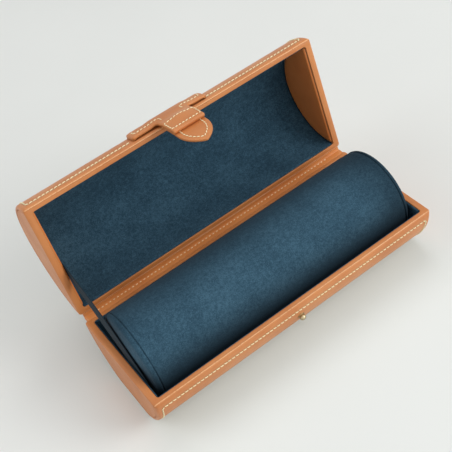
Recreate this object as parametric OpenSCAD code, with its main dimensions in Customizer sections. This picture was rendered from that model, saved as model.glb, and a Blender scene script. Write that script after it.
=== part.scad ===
// Round travel case for wristwatches: a leather-covered half-round base and lid, sewn together
// by a rolled leather hinge, with a suede watch roll lying in the base and a strap that hooks
// over a brass stud.
//
// Row frame: +X runs along the case, +Y towards the hinge, +Z up. The origin is the middle of
// the flat sole. The lid is drawn open, where the ribbon stay stops it.

/* [Case] */
// Length over the leather covers
case_len = 249; // [190:1:300]
// Outer radius of the closed case
shell_r = 49; // [46.5:0.5:60]
// How much of the round base is cut away by the flat sole
sole_cut = 4.5; // [2:0.1:5]
// Angle at which the ribbon stops the lid
open_angle = 101.7; // [80:0.1:110]

/* [Walls] */
// Thickness of the leather covers
leather_t = 1.4; // [1:0.1:2]
// Thickness of the base's curved board
base_board_t = 3.1; // [2.6:0.1:3.6]
// Thickness of the lid's curved board
lid_board_t = 2.0; // [1.5:0.1:2.6]
// Thickness of the half-moon boards in the ends
end_board_t = 3.3; // [2.5:0.1:4]
// Thickness of the suede lining in the base and of the leather facing in the lid's ends
lining_t = 1.2; // [0.8:0.1:1.6]
// Thickness of the padded suede lining in the lid
lid_lining_t = 2.3; // [1.5:0.1:2.8]
// Width of the leather rim along the front and back edges
rim_w = 4.5; // [4:0.1:5.5]
// Thickness of the leather turned over the rims
rim_t = 1.2; // [0.8:0.1:1.6]
// Inner corner radius of the rims
rim_corner_r = 2; // [1:0.5:4]
// How far the end leathers lie back inside the covers
end_recess = 0.8; // [0.4:0.1:1.5]
// Gap left between the two rims when the case is shut
rim_gap = 0.3; // [0.2:0.05:0.6]

/* [Ballast] */
// Distance of the steel plate from each end board
plate_end_gap = 16.5; // [6:0.5:40]
// Distance of the steel plate from the edges of the board's flat
plate_side_gap = 2.5; // [1:0.5:6]
// Thickness of the steel plate
plate_t = 1.9; // [1:0.1:2.2]

/* [Hinge] */
// Distance of the hinge line behind the shells' back edge
hinge_back = 3; // [2.6:0.1:4]
// Thickness of the hinge leather
hinge_t = 1.4; // [1:0.1:1.8]
// Width of each hinge leaf, measured round the shell
leaf_w = 13; // [9:0.5:18]
// How far the hinge stops short of each end
hinge_inset = 2.5; // [1:0.5:8]
// Running gap between the hinge roll and the lid
hinge_gap = 0.3; // [0.2:0.05:0.5]

/* [Watch roll] */
// Gap at each end of the roll, which takes the ribbon
roll_end_gap = 3.3; // [2:0.1:8]
// Diameter of the roll
roll_d = 71.4; // [60:0.2:74]
// Thickness of the roll's suede cover
roll_cover_t = 1.6; // [1:0.1:2.5]
// Distance of each sewn groove from the roll's end
welt_w = 2.8; // [2:0.1:5]
// Depth of the sewn grooves
welt_groove = 0.8; // [0.4:0.1:1.2]
// Rounding of the roll's end discs inside their welts
end_crown = 1; // [0.4:0.1:1.4]
// How far in front of the middle the roll has come to rest
roll_forward = 2; // [0:0.5:3]
// Gap between the roll and the lining under it
roll_gap = 0.3; // [0.2:0.05:0.6]

/* [Ribbon stay] */
// Width of the ribbon
ribbon_w = 10; // [6:0.5:14]
// Thickness of the ribbon
ribbon_t = 0.8; // [0.4:0.1:1]
// Depth of the ribbon's fixing in the lid, below the lid's rim
ribbon_lid_depth = 14.5; // [9:0.5:18]
// Depth of the ribbon's fixing in the base, below the base's rim
ribbon_base_depth = 11.5; // [9:0.5:15]
// Distance of the ribbon's fixing in the base in front of the middle
ribbon_base_forward = 34; // [20:0.5:35]

/* [Clasp] */
// Length of the clasp bar sewn on the lid
bar_len = 65; // [54:1:80]
// Width of the clasp bar
bar_w = 15; // [11:0.5:20]
// Distance of the bar from the lid's rim
bar_rise = 4.5; // [3.5:0.5:8]
// Width of the clasp tab
tab_w = 27; // [22:0.5:30]
// Length of the clasp tab beyond the lid's rim
tab_len = 24.5; // [24:0.5:29]
// Width of the tongue under the tab
tongue_w = 25; // [20:0.5:26]
// Length of the tongue beyond the lid's rim
tongue_len = 47; // [44:0.5:52]
// Thickness of the tab and the tongue
strap_t = 1.4; // [1:0.1:1.8]
// Gap between the closed tongue and the base
strap_gap = 1; // [0.8:0.1:1.5]
// Radius of the hole that goes over the stud
stud_hole_r = 2.8; // [2.8:0.1:3.4]
// Width of the slit above that hole
stud_slit_w = 1.2; // [0.8:0.1:2]
// Length of the slit above that hole
stud_slit_len = 3; // [1:0.5:5]
// Angle by which the strap stands off the base at rest
strap_rest = 24; // [10:1:30]

/* [Stud] */
// Distance of the stud below the base's rim, round the shell
stud_drop = 16.5; // [15:0.5:20]
// Radius of the stud's head
stud_r = 2.4; // [2:0.1:2.5]
// Height of the stud above the leather
stud_h = 4; // [3.4:0.1:4.2]

/* [Hidden] */
$fn = 128;

TAN = [0.80, 0.47, 0.26];
TAN_SHADE = [0.66, 0.38, 0.20];
NAVY = [0.15, 0.25, 0.34];
NAVY_DARK = [0.10, 0.15, 0.21];
BOARD = [0.72, 0.66, 0.55];
STEEL = [0.62, 0.63, 0.65];
BRASS = [0.78, 0.64, 0.34];

// Places along the case, from the outside in
cover_x = case_len / 2;
leather_x = cover_x - end_recess;
board_x = leather_x - leather_t;
rim_x = board_x - end_board_t;
lining_x = rim_x - lining_t;

// Radii, from the outside in, and the flat under the base, which keeps the same thicknesses
base_h = shell_r - sole_cut;
cover_in_r = shell_r - leather_t;
base_board_r = cover_in_r - base_board_t;
base_lining_r = base_board_r - lining_t;
lid_board_r = cover_in_r - lid_board_t;
lid_lining_r = lid_board_r - lid_lining_t;
cover_flat = base_h - leather_t;
board_flat = cover_flat - base_board_t;
lining_flat = board_flat - lining_t;
rim_y = shell_r - rim_w;

// Hinge line, in the closed case with its rim plane at z = 0
axis_y = shell_r + hinge_back;
axis_z = rim_gap / 2;
bead_r = norm([hinge_back, axis_z]) - hinge_gap;
leaf_angle = leaf_w / shell_r * 180 / PI;

// Ballast
plate_len = 2 * (rim_x - plate_end_gap);
plate_w = 2 * (sqrt(pow(base_board_r, 2) - pow(board_flat, 2)) - plate_side_gap);

// Roll
roll_len = 2 * (lining_x - roll_end_gap);
roll_r = roll_d / 2;
roll_z = roll_gap + roll_r - lining_flat;
end_t = 2.4;

// Strap, with its radii measured from the axis of the closed case
tongue_in = shell_r + strap_gap;
tab_in = tongue_in + strap_t;
tab_out = tab_in + strap_t;
flex_r = (tab_in + tab_out) / 2;
knuckle_r = strap_t / 2 + 0.2;
stud_angle = stud_drop / shell_r * 180 / PI;
tab_angle = tab_len / tab_in * 180 / PI;
tongue_angle = tongue_len / tongue_in * 180 / PI;
tip_angle = tongue_angle * 0.7;
pocket_lift = shell_r + stud_h + 0.3 - tab_in;
pocket_high_angle = stud_angle - (stud_r + 2.5) / shell_r * 180 / PI;
pocket_low_angle = pocket_high_angle - 2.5 / shell_r * 180 / PI;
step_lap = 1;
pocket_in_x = stud_r + 2;
pocket_out_x = tab_w / 2 - 3.5;
bar_angle = asin((bar_rise + bar_w) / shell_r) + 2;
free_x = tab_w / 2 + 1;
sewn_x = tab_w / 2 + 9;

// Stud screw
screw_r = 1.1;
screw_head_r = 2.6;
screw_head_h = 1.5;
stud_neck_r = 1.7;
stud_flange_r = 2.8;
stud_flange_h = 0.6;

// Frames --------------------------------------------------------------------------------------

// The base's frame has its origin on the axis of the closed case, in the base's rim plane.
module in_base() {
    translate([0, 0, base_h])
        children();
}

// The lid as it lies on the closed case, turned open about the hinge line.
module in_lid() {
    in_base()
        translate([0, axis_y, axis_z])
            rotate([-open_angle, 0, 0])
                translate([0, -axis_y, -axis_z])
                    children();
}

// A half drawn with its opening up and its hinge side at +Y, turned over onto the closed case.
module as_lid_half() {
    in_lid()
        translate([0, 0, rim_gap])
            mirror([0, 0, 1])
                children();
}

// The strap as it lies on the closed case, swung out about its flex line.
module in_strap() {
    in_lid()
        translate([0, -flex_r, rim_gap])
            rotate([-strap_rest, 0, 0])
                translate([0, flex_r, -rim_gap])
                    children();
}

// A flat outline in Y and Z, drawn out along the case from x0 to x1.
module along_x(x0, x1) {
    translate([x0, 0, 0])
        rotate([90, 0, 90])
            linear_extrude(x1 - x0)
                children();
}

// A profile of radius and x, turned about the case's axis from one angle below the front rim
// to another. Angles above the rim are negative.
module turned(from_angle, to_angle) {
    rotate([0, 90, 0])
        rotate([0, 0, from_angle - 90])
            rotate_extrude(angle = to_angle - from_angle)
                children();
}

// An outline of x and height, pushed outwards through the shell at an angle below the front rim.
module radial(angle, reach) {
    rotate([angle, 0, 0])
        rotate([90, 0, 0])
            linear_extrude(reach)
                children();
}

// Shapes --------------------------------------------------------------------------------------

// Lower half of a disc, cut by a flat below and by the rim leather above.
module half_moon(r, flat, top = 0) {
    intersection() {
        circle(r);
        translate([-r - 1, -flat])
            square([2 * r + 2, flat - top]);
    }
}

// Section of a half-round wall, between an outer and an inner half-moon, with its edge below
// the rim plane by top.
module wall_section(r_out, flat_out, r_in, flat_in, top = rim_t) {
    difference() {
        half_moon(r_out, flat_out, top);
        half_moon(r_in, flat_in);
    }
}

// Rectangle with its corners rounded by circles.
module soft_rect(w, h, r) {
    square([w - 2 * r, h], center = true);
    square([w, h - 2 * r], center = true);
    for (x = [-1, 1], y = [-1, 1])
        translate([x * (w / 2 - r), y * (h / 2 - r)])
            circle(r);
}

// Section of a rim seen from its end: flat below, rounded at its two upper edges.
module rim_section(half_w) {
    intersection() {
        translate([0, -rim_t])
            soft_rect(2 * half_w, 2 * rim_t, rim_t * 0.8);
        translate([-half_w, -rim_t])
            square([2 * half_w, rim_t]);
    }
}

// Leather turned over the edge of one half, with the opening inside it.
module rim_ring() {
    difference() {
        intersection() {
            along_x(-cover_x, cover_x)
                rim_section(shell_r);
            rotate([90, 0, 0])
                linear_extrude(2 * shell_r, center = true)
                    rim_section(cover_x);
        }
        translate([0, 0, -2 * rim_t])
            linear_extrude(3 * rim_t)
                soft_rect(2 * rim_x, 2 * rim_y, rim_corner_r);
    }
}

// Half-moon plate of one end, on the left (-1) or the right (1).
module end_plate(side, x_in, x_out, r, flat, top = rim_t) {
    along_x(min(side * x_in, side * x_out), max(side * x_in, side * x_out))
        half_moon(r, flat, top);
}

// Section of a leather of one thickness that stands off its seat by lift between -x0 and x0,
// and comes down to the seat again at -x1 and x1.
module crowned_section(half_w, seat_r, lift, x0, x1) {
    third = (x1 - x0) / 3;
    edge = [[x1, 0], [x1 - third, lift / 4], [x0 + third, lift * 3 / 4], [x0, lift]];
    right = [for (p = concat([[half_w, 0]], edge)) [seat_r + p[1], p[0]]];
    left = [for (i = [4:-1:0]) [right[i][0], -right[i][1]]];
    inner = concat(right, left);
    outer = [for (i = [9:-1:0]) [inner[i][0] + strap_t, inner[i][1]]];
    polygon(concat(inner, outer));
}

// Pointed arch: straight sides from y = root down to y = spring, then two arcs to the point,
// which run on a little way between the straight sides.
module arch_outline(w, root, spring, tip) {
    rise = spring - tip;
    run_on = 3;
    arc_r = (rise * rise + w * w / 4) / w;
    translate([-w / 2, spring])
        square([w, root - spring]);
    intersection() {
        translate([arc_r - w / 2, spring])
            circle(arc_r);
        translate([w / 2 - arc_r, spring])
            circle(arc_r);
        translate([-w / 2, tip - 1])
            square([w, rise + 1 + run_on]);
    }
}

// Hole for the stud's screw, through the base's wall.
module screw_hole(r) {
    rotate([stud_angle, 0, 0])
        rotate([90, 0, 0])
            cylinder(r = r, h = shell_r + 2);
}

// Base ----------------------------------------------------------------------------------------

module base_shell() {
    color(BOARD) in_base() difference() {
        along_x(-board_x, board_x)
            wall_section(cover_in_r, cover_flat, base_board_r, board_flat);
        translate([-plate_len / 2, -plate_w / 2, -board_flat - plate_t])
            cube([plate_len, plate_w, plate_t + 1]);
        screw_hole(screw_r);
        rotate([stud_angle, 0, 0])
            rotate([90, 0, 0])
                cylinder(r = screw_head_r, h = base_board_r + screw_head_h);
    }
}

module base_end_board(side) {
    color(BOARD) in_base()
        end_plate(side, rim_x, board_x, base_board_r, board_flat);
}

module base_end_board_left() {
    base_end_board(-1);
}

module base_end_board_right() {
    base_end_board(1);
}

module ballast_plate() {
    color(STEEL) in_base()
        translate([-plate_len / 2, -plate_w / 2, -board_flat - plate_t])
            cube([plate_len, plate_w, plate_t]);
}

module base_cover() {
    color(TAN) in_base() difference() {
        along_x(-cover_x, cover_x)
            wall_section(shell_r, base_h, cover_in_r, cover_flat);
        screw_hole(screw_r);
    }
}

module base_end_leather(side) {
    color(TAN) in_base()
        end_plate(side, board_x, leather_x, cover_in_r, cover_flat);
}

module base_end_leather_left() {
    base_end_leather(-1);
}

module base_end_leather_right() {
    base_end_leather(1);
}

module base_rim() {
    color(TAN) in_base()
        rim_ring();
}

module base_lining() {
    color(NAVY) in_base()
        along_x(-rim_x, rim_x)
            wall_section(base_board_r, board_flat, base_lining_r, lining_flat, rim_t / 2);
}

module base_end_lining(side) {
    color(NAVY_DARK) in_base()
        end_plate(side, lining_x, rim_x, base_lining_r, lining_flat, rim_t / 2);
}

module base_end_lining_left() {
    base_end_lining(-1);
}

module base_end_lining_right() {
    base_end_lining(1);
}

// Brass stud: a flange on the leather, a neck, and a rounded head with a flat on top.
module stud_knob() {
    color(BRASS) in_base()
        rotate([stud_angle, 0, 0])
            translate([0, -shell_r, 0])
                rotate([90, 0, 0])
                    difference() {
                        rotate_extrude() {
                            square([stud_flange_r, stud_flange_h]);
                            square([stud_neck_r, stud_h / 2]);
                            intersection() {
                                translate([0, stud_h - 2.1])
                                    circle(stud_r);
                                square([stud_r + 1, stud_h]);
                            }
                        }
                        translate([0, 0, -1])
                            cylinder(r = screw_r, h = stud_h / 2 + 1);
                    }
}

// Screw from inside the base's wall, with its head let into the board.
module stud_screw() {
    color(STEEL) in_base()
        rotate([stud_angle, 0, 0])
            rotate([90, 0, 0]) {
                translate([0, 0, base_board_r + 0.1])
                    cylinder(r = screw_head_r, h = screw_head_h - 0.1);
                translate([0, 0, base_board_r + 0.1])
                    cylinder(r = screw_r, h = shell_r + stud_h / 2 - base_board_r - 0.1);
            }
}

// Rolled leather on the hinge line, with the leaf that is sewn to the base's back.
module hinge_roll() {
    leaf_r = shell_r + hinge_t;
    end_x = cover_x - hinge_inset;
    color(TAN_SHADE) in_base() difference() {
        union() {
            along_x(-end_x, end_x)
                translate([axis_y, axis_z])
                    circle(bead_r);
            along_x(-end_x, end_x)
                polygon([
                    [axis_y - bead_r * 0.8, axis_z - bead_r * 0.5],
                    [axis_y, axis_z],
                    [axis_y + bead_r * 0.75, axis_z - bead_r * 0.6],
                    [leaf_r * cos(8) - 0.3, -leaf_r * sin(8)],
                    [shell_r - 0.6, -leaf_r * sin(8)]
                ]);
            intersection() {
                along_x(-end_x, end_x)
                    circle(leaf_r);
                along_x(-end_x - 1, end_x + 1)
                    polygon([
                        [0, 0],
                        [2 * shell_r * cos(leaf_angle), -2 * shell_r * sin(leaf_angle)],
                        [2 * shell_r, -2 * shell_r * sin(2)]
                    ]);
            }
        }
        along_x(-cover_x, cover_x)
            circle(shell_r);
    }
}

// Ribbon that stops the lid, straight from a lid's end to the base's end.
module ribbon_stay() {
    lid_turn = -open_angle;
    from_y = axis_y + (-axis_y) * cos(lid_turn) - (rim_gap + ribbon_lid_depth - axis_z) * sin(lid_turn);
    from_z = axis_z + (-axis_y) * sin(lid_turn) + (rim_gap + ribbon_lid_depth - axis_z) * cos(lid_turn);
    run = [from_y + ribbon_base_forward, from_z + ribbon_base_depth];
    color(NAVY_DARK) in_base()
        translate([-lining_x, -ribbon_base_forward, -ribbon_base_depth])
            rotate([atan2(run[1], run[0]), 0, 0])
                translate([0, 0, -ribbon_w / 2])
                    cube([ribbon_t, norm(run), ribbon_w]);
}

// Watch roll ----------------------------------------------------------------------------------

// Half-outline of the roll, as radius and x: the cover, the sewn grooves, the welts at the ends.
module roll_outline(inset = 0) {
    r = roll_r - inset;
    x = roll_len / 2 - inset;
    difference() {
        union() {
            translate([0, -x + welt_w / 2])
                square([r, 2 * x - welt_w]);
            translate([0, -x])
                square([r - welt_w / 2, 2 * x]);
            for (side = [-1, 1])
                translate([r - welt_w / 2, side * (x - welt_w / 2)])
                    circle(welt_w / 2, $fn = 24);
        }
        for (side = [-1, 1])
            translate([r + welt_groove * 0.2, side * (x - welt_w)])
                circle(welt_groove * 1.2, $fn = 24);
    }
}

// Turned solid of the roll, lying where it has come to rest.
module roll_turned() {
    in_base()
        translate([0, -roll_forward, roll_z])
            rotate([0, 90, 0])
                rotate_extrude()
                    children();
}

module roll_core() {
    color("gainsboro") roll_turned()
        translate([0, -roll_len / 2 + end_t])
            square([roll_r - roll_cover_t - welt_groove, roll_len - 2 * end_t]);
}

module roll_cover() {
    color(NAVY) roll_turned()
        difference() {
            roll_outline();
            translate([-1, -roll_len])
                square([roll_r - roll_cover_t - welt_groove + 1, 2 * roll_len]);
        }
}

// Disc of suede that closes one end of the roll, with a rounded edge inside its welt.
module roll_end(side) {
    r = roll_r - roll_cover_t - welt_groove;
    h = end_t - 0.2;
    color(NAVY_DARK) roll_turned()
        translate([0, side * (roll_len / 2 - end_t)])
            mirror([0, side < 0 ? 1 : 0]) {
                square([r - end_crown, h]);
                square([r, h - end_crown]);
                translate([r - end_crown, h - end_crown])
                    circle(end_crown, $fn = 24);
            }
}

module roll_end_left() {
    roll_end(-1);
}

module roll_end_right() {
    roll_end(1);
}

// Lid -----------------------------------------------------------------------------------------

module lid_shell() {
    color(BOARD) as_lid_half()
        along_x(-board_x, board_x)
            wall_section(cover_in_r, cover_in_r, lid_board_r, lid_board_r);
}

module lid_end_board(side) {
    color(BOARD) as_lid_half()
        end_plate(side, rim_x, board_x, lid_board_r, lid_board_r);
}

module lid_end_board_left() {
    lid_end_board(-1);
}

module lid_end_board_right() {
    lid_end_board(1);
}

module lid_cover() {
    color(TAN) as_lid_half()
        along_x(-cover_x, cover_x)
            wall_section(shell_r, shell_r, cover_in_r, cover_in_r);
}

module lid_end_leather(side) {
    color(TAN) as_lid_half()
        end_plate(side, board_x, leather_x, cover_in_r, cover_in_r);
}

module lid_end_leather_left() {
    lid_end_leather(-1);
}

module lid_end_leather_right() {
    lid_end_leather(1);
}

module lid_rim() {
    color(TAN) as_lid_half()
        rim_ring();
}

module lid_lining() {
    color(NAVY) as_lid_half()
        along_x(-rim_x, rim_x)
            wall_section(lid_board_r, lid_board_r, lid_lining_r, lid_lining_r);
}

module lid_end_facing(side) {
    color(TAN_SHADE) as_lid_half()
        end_plate(side, lining_x, rim_x, lid_lining_r, lid_lining_r);
}

module lid_end_facing_left() {
    lid_end_facing(-1);
}

module lid_end_facing_right() {
    lid_end_facing(1);
}

// Leaf of the hinge leather that is sewn to the lid's back, hollowed round the hinge roll.
module hinge_leaf() {
    color(TAN_SHADE) in_lid()
        along_x(-cover_x + hinge_inset, cover_x - hinge_inset)
            translate([0, rim_gap])
                difference() {
                    intersection() {
                        circle(shell_r + hinge_t);
                        polygon([
                            [0, 0],
                            [2 * shell_r * cos(leaf_angle), 2 * shell_r * sin(leaf_angle)],
                            [2 * shell_r, rim_t]
                        ]);
                    }
                    circle(shell_r);
                    translate([axis_y, axis_z - rim_gap])
                        circle(bead_r + hinge_gap);
                }
}

// Clasp ---------------------------------------------------------------------------------------

// Fillet that fills the corner between a side along Y and an edge above it.
module corner_fillet(r) {
    difference() {
        square(r);
        translate([r, 0])
            circle(r);
    }
}

// Outline of the bar and of the root of the tab, with round fillets where they meet.
module bar_outline() {
    fillet = bar_rise - 0.5;
    translate([0, bar_rise + bar_w / 2])
        soft_rect(bar_len, bar_w, 3);
    translate([-tab_w / 2, 0])
        square([tab_w, bar_rise + 1]);
    for (side = [0, 1])
        mirror([side, 0])
            translate([tab_w / 2, bar_rise - fillet])
                corner_fillet(fillet);
}

// Bar sewn to the lid's front at both ends, standing off it in the middle where the tab flexes.
module clasp_bar() {
    color(TAN) in_lid()
        translate([0, 0, rim_gap])
            difference() {
                intersection() {
                    turned(-bar_angle, 0)
                        crowned_section(bar_len / 2, shell_r, tab_in - shell_r, free_x, sewn_x);
                    radial(0, 2 * shell_r)
                        bar_outline();
                }
                translate([0, -flex_r, 0])
                    rotate([0, 90, 0])
                        cylinder(r = knuckle_r + 0.25, h = bar_len, center = true);
            }
}

// Tab that swings with the strap: a round knuckle on the flex line, and a pocket over the stud
// that rises in two steps and is open at the tab's end.
module clasp_tab() {
    half_w = tab_w / 2 + 1;
    color(TAN) in_strap()
        translate([0, 0, rim_gap]) {
            intersection() {
                union() {
                    turned(0, pocket_low_angle + step_lap)
                        translate([tab_in, -half_w])
                            square([strap_t, 2 * half_w]);
                    turned(pocket_low_angle, pocket_high_angle + step_lap)
                        crowned_section(half_w, tab_in, pocket_lift / 2, pocket_in_x, pocket_out_x);
                    turned(pocket_high_angle, tab_angle + 4)
                        crowned_section(half_w, tab_in, pocket_lift, pocket_in_x, pocket_out_x);
                }
                radial(tab_angle, 2 * shell_r)
                    translate([0, tab_len])
                        soft_rect(tab_w, 2 * tab_len, 3);
            }
            translate([0, -flex_r, 0])
                rotate([0, 90, 0])
                    cylinder(r = knuckle_r, h = tab_w - 6, center = true);
        }
}

// Pointed tongue sewn under the tab, with the hole that goes over the stud.
module clasp_tongue() {
    tip_y = -shell_r * sin(tongue_angle - tip_angle);
    color(TAN) in_strap()
        translate([0, 0, rim_gap])
            difference() {
                intersection() {
                    turned(2, tongue_angle + 6)
                        translate([tongue_in, -tongue_w / 2])
                            square([strap_t, tongue_w]);
                    radial(tip_angle, 2 * shell_r)
                        arch_outline(tongue_w, 2 * shell_r, tip_y + 18, tip_y);
                }
                radial(stud_angle, 2 * shell_r) {
                    circle(stud_hole_r);
                    translate([-stud_slit_w / 2, 0])
                        square([stud_slit_w, stud_hole_r + stud_slit_len]);
                }
            }
}

base_shell();
base_end_board_left();
base_end_board_right();
ballast_plate();
base_cover();
base_end_leather_left();
base_end_leather_right();
base_rim();
base_lining();
base_end_lining_left();
base_end_lining_right();
stud_knob();
stud_screw();
hinge_roll();
ribbon_stay();
roll_core();
roll_cover();
roll_end_left();
roll_end_right();
lid_shell();
lid_end_board_left();
lid_end_board_right();
lid_cover();
lid_end_leather_left();
lid_end_leather_right();
lid_rim();
lid_lining();
lid_end_facing_left();
lid_end_facing_right();
hinge_leaf();
clasp_bar();
clasp_tab();
clasp_tongue();
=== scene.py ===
"""Round leather travel case for wristwatches, open, with its suede roll, ribbon and strap clasp.

Shapes are worked out in millimetres, either in the case's own frame (origin on the axis of the
closed case, in the base's rim plane) or in a half's frame, and are then put into the row frame.
"""

import logging
import math
from collections.abc import Callable
from dataclasses import dataclass, field
from enum import Enum

import bpy
import numpy as np
from mathutils import Matrix
from numpy.typing import NDArray


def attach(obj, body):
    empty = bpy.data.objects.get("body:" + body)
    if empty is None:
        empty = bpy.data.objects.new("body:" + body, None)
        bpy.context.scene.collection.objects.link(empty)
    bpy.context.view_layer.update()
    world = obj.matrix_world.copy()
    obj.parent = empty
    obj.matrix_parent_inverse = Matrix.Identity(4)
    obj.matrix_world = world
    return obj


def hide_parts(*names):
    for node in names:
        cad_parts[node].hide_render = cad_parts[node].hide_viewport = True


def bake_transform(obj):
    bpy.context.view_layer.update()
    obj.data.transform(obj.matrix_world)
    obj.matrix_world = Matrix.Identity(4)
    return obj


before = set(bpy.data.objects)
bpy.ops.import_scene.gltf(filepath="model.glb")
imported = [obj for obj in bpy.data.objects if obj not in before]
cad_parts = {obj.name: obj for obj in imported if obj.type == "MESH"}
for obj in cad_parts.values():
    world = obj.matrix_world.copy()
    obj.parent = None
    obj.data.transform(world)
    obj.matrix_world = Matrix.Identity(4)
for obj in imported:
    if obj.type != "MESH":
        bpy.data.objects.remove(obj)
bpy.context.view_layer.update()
LOG = logging.getLogger("watch_case")
MM = 0.001
Points = NDArray[np.float64]
Place = Callable[[Points], Points]
Distance = Callable[[Points], Points]
Colour = tuple[float, float, float]
Socket = bpy.types.NodeSocket


# Sizes ---------------------------------------------------------------------------------------


@dataclass(frozen=True)
class CaseSize:
    """The sizes in millimetres that several sub-assemblies share, as the frame has them."""

    end_x: float = 124.5
    shell_r: float = 49.0
    base_h: float = 44.5
    leather_t: float = 1.4
    lining_t: float = 1.2
    sole_t: float = 4.5
    rim_t: float = 1.2
    rim_gap: float = 0.3
    open_x: float = 119.0
    open_y: float = 44.5
    lining_x: float = 117.8
    lining_r: float = 43.3
    panel_x: float = 122.3
    axis_y: float = 52.0
    axis_z: float = 0.15
    open_angle: float = 101.7
    flex_r: float = 52.1
    strap_rest: float = 24.0

    @property
    def hollow(self) -> float:
        """Depth of the base's hollow below its rim, down to the board."""
        return self.base_h - self.sole_t


SIZE = CaseSize()
SHELL_ARC = math.pi * SIZE.shell_r
# Where the strap starts to bend and where it has bent by its full share, with the case closed.
STRAP_SPAN = (np.array([0.0, -52.6, 15.0]), np.array([0.0, -50.0, -63.0]))


class Half(Enum):
    """The two halves of the case, by the name of the body each one rides on."""

    BASE = "base"
    LID = "lid"


class Side(Enum):
    """The two ends of the case, by the sign of X."""

    LEFT = -1
    RIGHT = 1

    @property
    def word(self) -> str:
        """The end's word in the names of pieces."""
        return self.name.lower()


# Frames --------------------------------------------------------------------------------------


def turned(points: Points, degrees: float | Points, y: float, z: float) -> Points:
    """Turn points about a line along X through y and z.

    Args:
        points: positions, one a row.
        degrees: angle by the right-hand rule about +X, for all points or one for each.
        y: the line's place in Y.
        z: the line's place in Z.

    Returns:
        The turned positions.
    """
    a = np.radians(degrees)
    dy, dz = points[..., 1] - y, points[..., 2] - z
    out = points.copy()
    out[..., 1] = y + dy * np.cos(a) - dz * np.sin(a)
    out[..., 2] = z + dy * np.sin(a) + dz * np.cos(a)
    return out


def in_row(points: Points) -> Points:
    """Lift points from the case's frame to the row frame, whose floor is under the sole."""
    return points + np.array([0.0, 0.0, SIZE.base_h])


def in_lid(points: Points) -> Points:
    """Swing points of the closed case open with the lid, into the row frame."""
    return in_row(turned(points, -SIZE.open_angle, SIZE.axis_y, SIZE.axis_z))


def eased(t: Points) -> Points:
    """Smooth step from 0 to 1: three t squared less two t cubed, held outside 0..1."""
    t = np.clip(t, 0, 1)
    return t * t * (3 - 2 * t)


def in_strap(points: Points) -> Points:
    """Let points of the closed strap hang at its rest, and swing them open with the lid.

    The strap isn't stiff: a point turns about the flex line by its share of the rest angle,
    and that share eases from 0 at the bar to 1 past the tip. The share is read where the
    point ends up, so the two are found together by going round a few times.
    """
    start, end = STRAP_SPAN
    way = end - start
    share = np.zeros(points.shape[:-1])
    for _ in range(12):
        hung = turned(points, -SIZE.strap_rest * share, -SIZE.flex_r, SIZE.rim_gap)
        share = eased((hung - start) @ way / (way @ way))
    return in_lid(hung)


def half_place(half: Half) -> Place:
    """Give the placing of a half that is drawn with its opening up and its hinge side at +Y.

    Args:
        half: the base, which is drawn as it stands, or the lid, which is turned over.

    Returns:
        A function from the half's frame to the row frame.
    """
    if half is Half.BASE:
        return in_row

    def over(points: Points) -> Points:
        """Mirror the half in its rim plane, and swing it open."""
        out = points.copy()
        out[..., 2] = SIZE.rim_gap - out[..., 2]
        return in_lid(out)

    return over


# Surfaces ------------------------------------------------------------------------------------


@dataclass
class Surface:
    """A closed skin of four-sided faces, with flat coordinates that a finish may follow.

    points are in millimetres, quads index them, and flat holds two coordinates a point.
    """

    points: Points
    quads: NDArray[np.int64]
    flat: Points

    def outward(self) -> "Surface":
        """Return the skin with its faces turned so that the volume inside it is positive."""
        a, b, c, d = (self.points[self.quads[:, k]] for k in range(4))
        volume = np.einsum("ij,ij->", a, np.cross(b, c)) + np.einsum("ij,ij->", a, np.cross(c, d))
        quads = self.quads if volume > 0 else self.quads[:, ::-1]
        return Surface(self.points, quads, self.flat)


def paired(a: Points, b: Points, shape: tuple[int, ...]) -> Points:
    """Flat coordinates over a grid, from two arrays that are spread to its shape."""
    return np.stack([np.broadcast_to(a, shape), np.broadcast_to(b, shape)], -1)


def cells(at: NDArray[np.int64]) -> NDArray[np.int64]:
    """Corners of the faces between the rows and columns of a grid of point numbers."""
    return np.stack([at[:-1, :-1], at[1:, :-1], at[1:, 1:], at[:-1, 1:]], -1).reshape(-1, 4)


def lattice(points: Points, flat: Points) -> Surface:
    """Make a skin from rows of points, where each row is a closed section of the shape.

    The first and last rows are filled. Column i of a row is opposite the i-th column from
    the end, and the fill runs between the two.

    Args:
        points: an array of rows by columns by 3.
        flat: an array of rows by columns by 2.

    Returns:
        The skin.
    """
    rows, cols = points.shape[:2]
    at = np.arange(rows * cols).reshape(rows, cols)
    quads = [cells(np.hstack([at, at[:, :1]]))]
    i = np.arange(cols // 2 - 1)
    for row, turn in ((at[0], 1), (at[-1], -1)):
        cap = np.stack([row[i], row[i + 1], row[cols - 2 - i], row[cols - 1 - i]], -1)
        quads.append(cap[:, ::turn])
    return Surface(points.reshape(-1, 3), np.vstack(quads), flat.reshape(-1, 2))


def ring(points: Points, flat: Points) -> Surface:
    """Make a skin that closes both ways, such as a rim.

    Args:
        points: an array of rows by columns by 3.
        flat: an array of rows by columns by 2.

    Returns:
        The skin.
    """
    rows, cols = points.shape[:2]
    at = np.arange(rows * cols).reshape(rows, cols)
    at = np.vstack([at, at[:1]])
    return Surface(points.reshape(-1, 3), cells(np.hstack([at, at[:, :1]])), flat.reshape(-1, 2))


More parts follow.
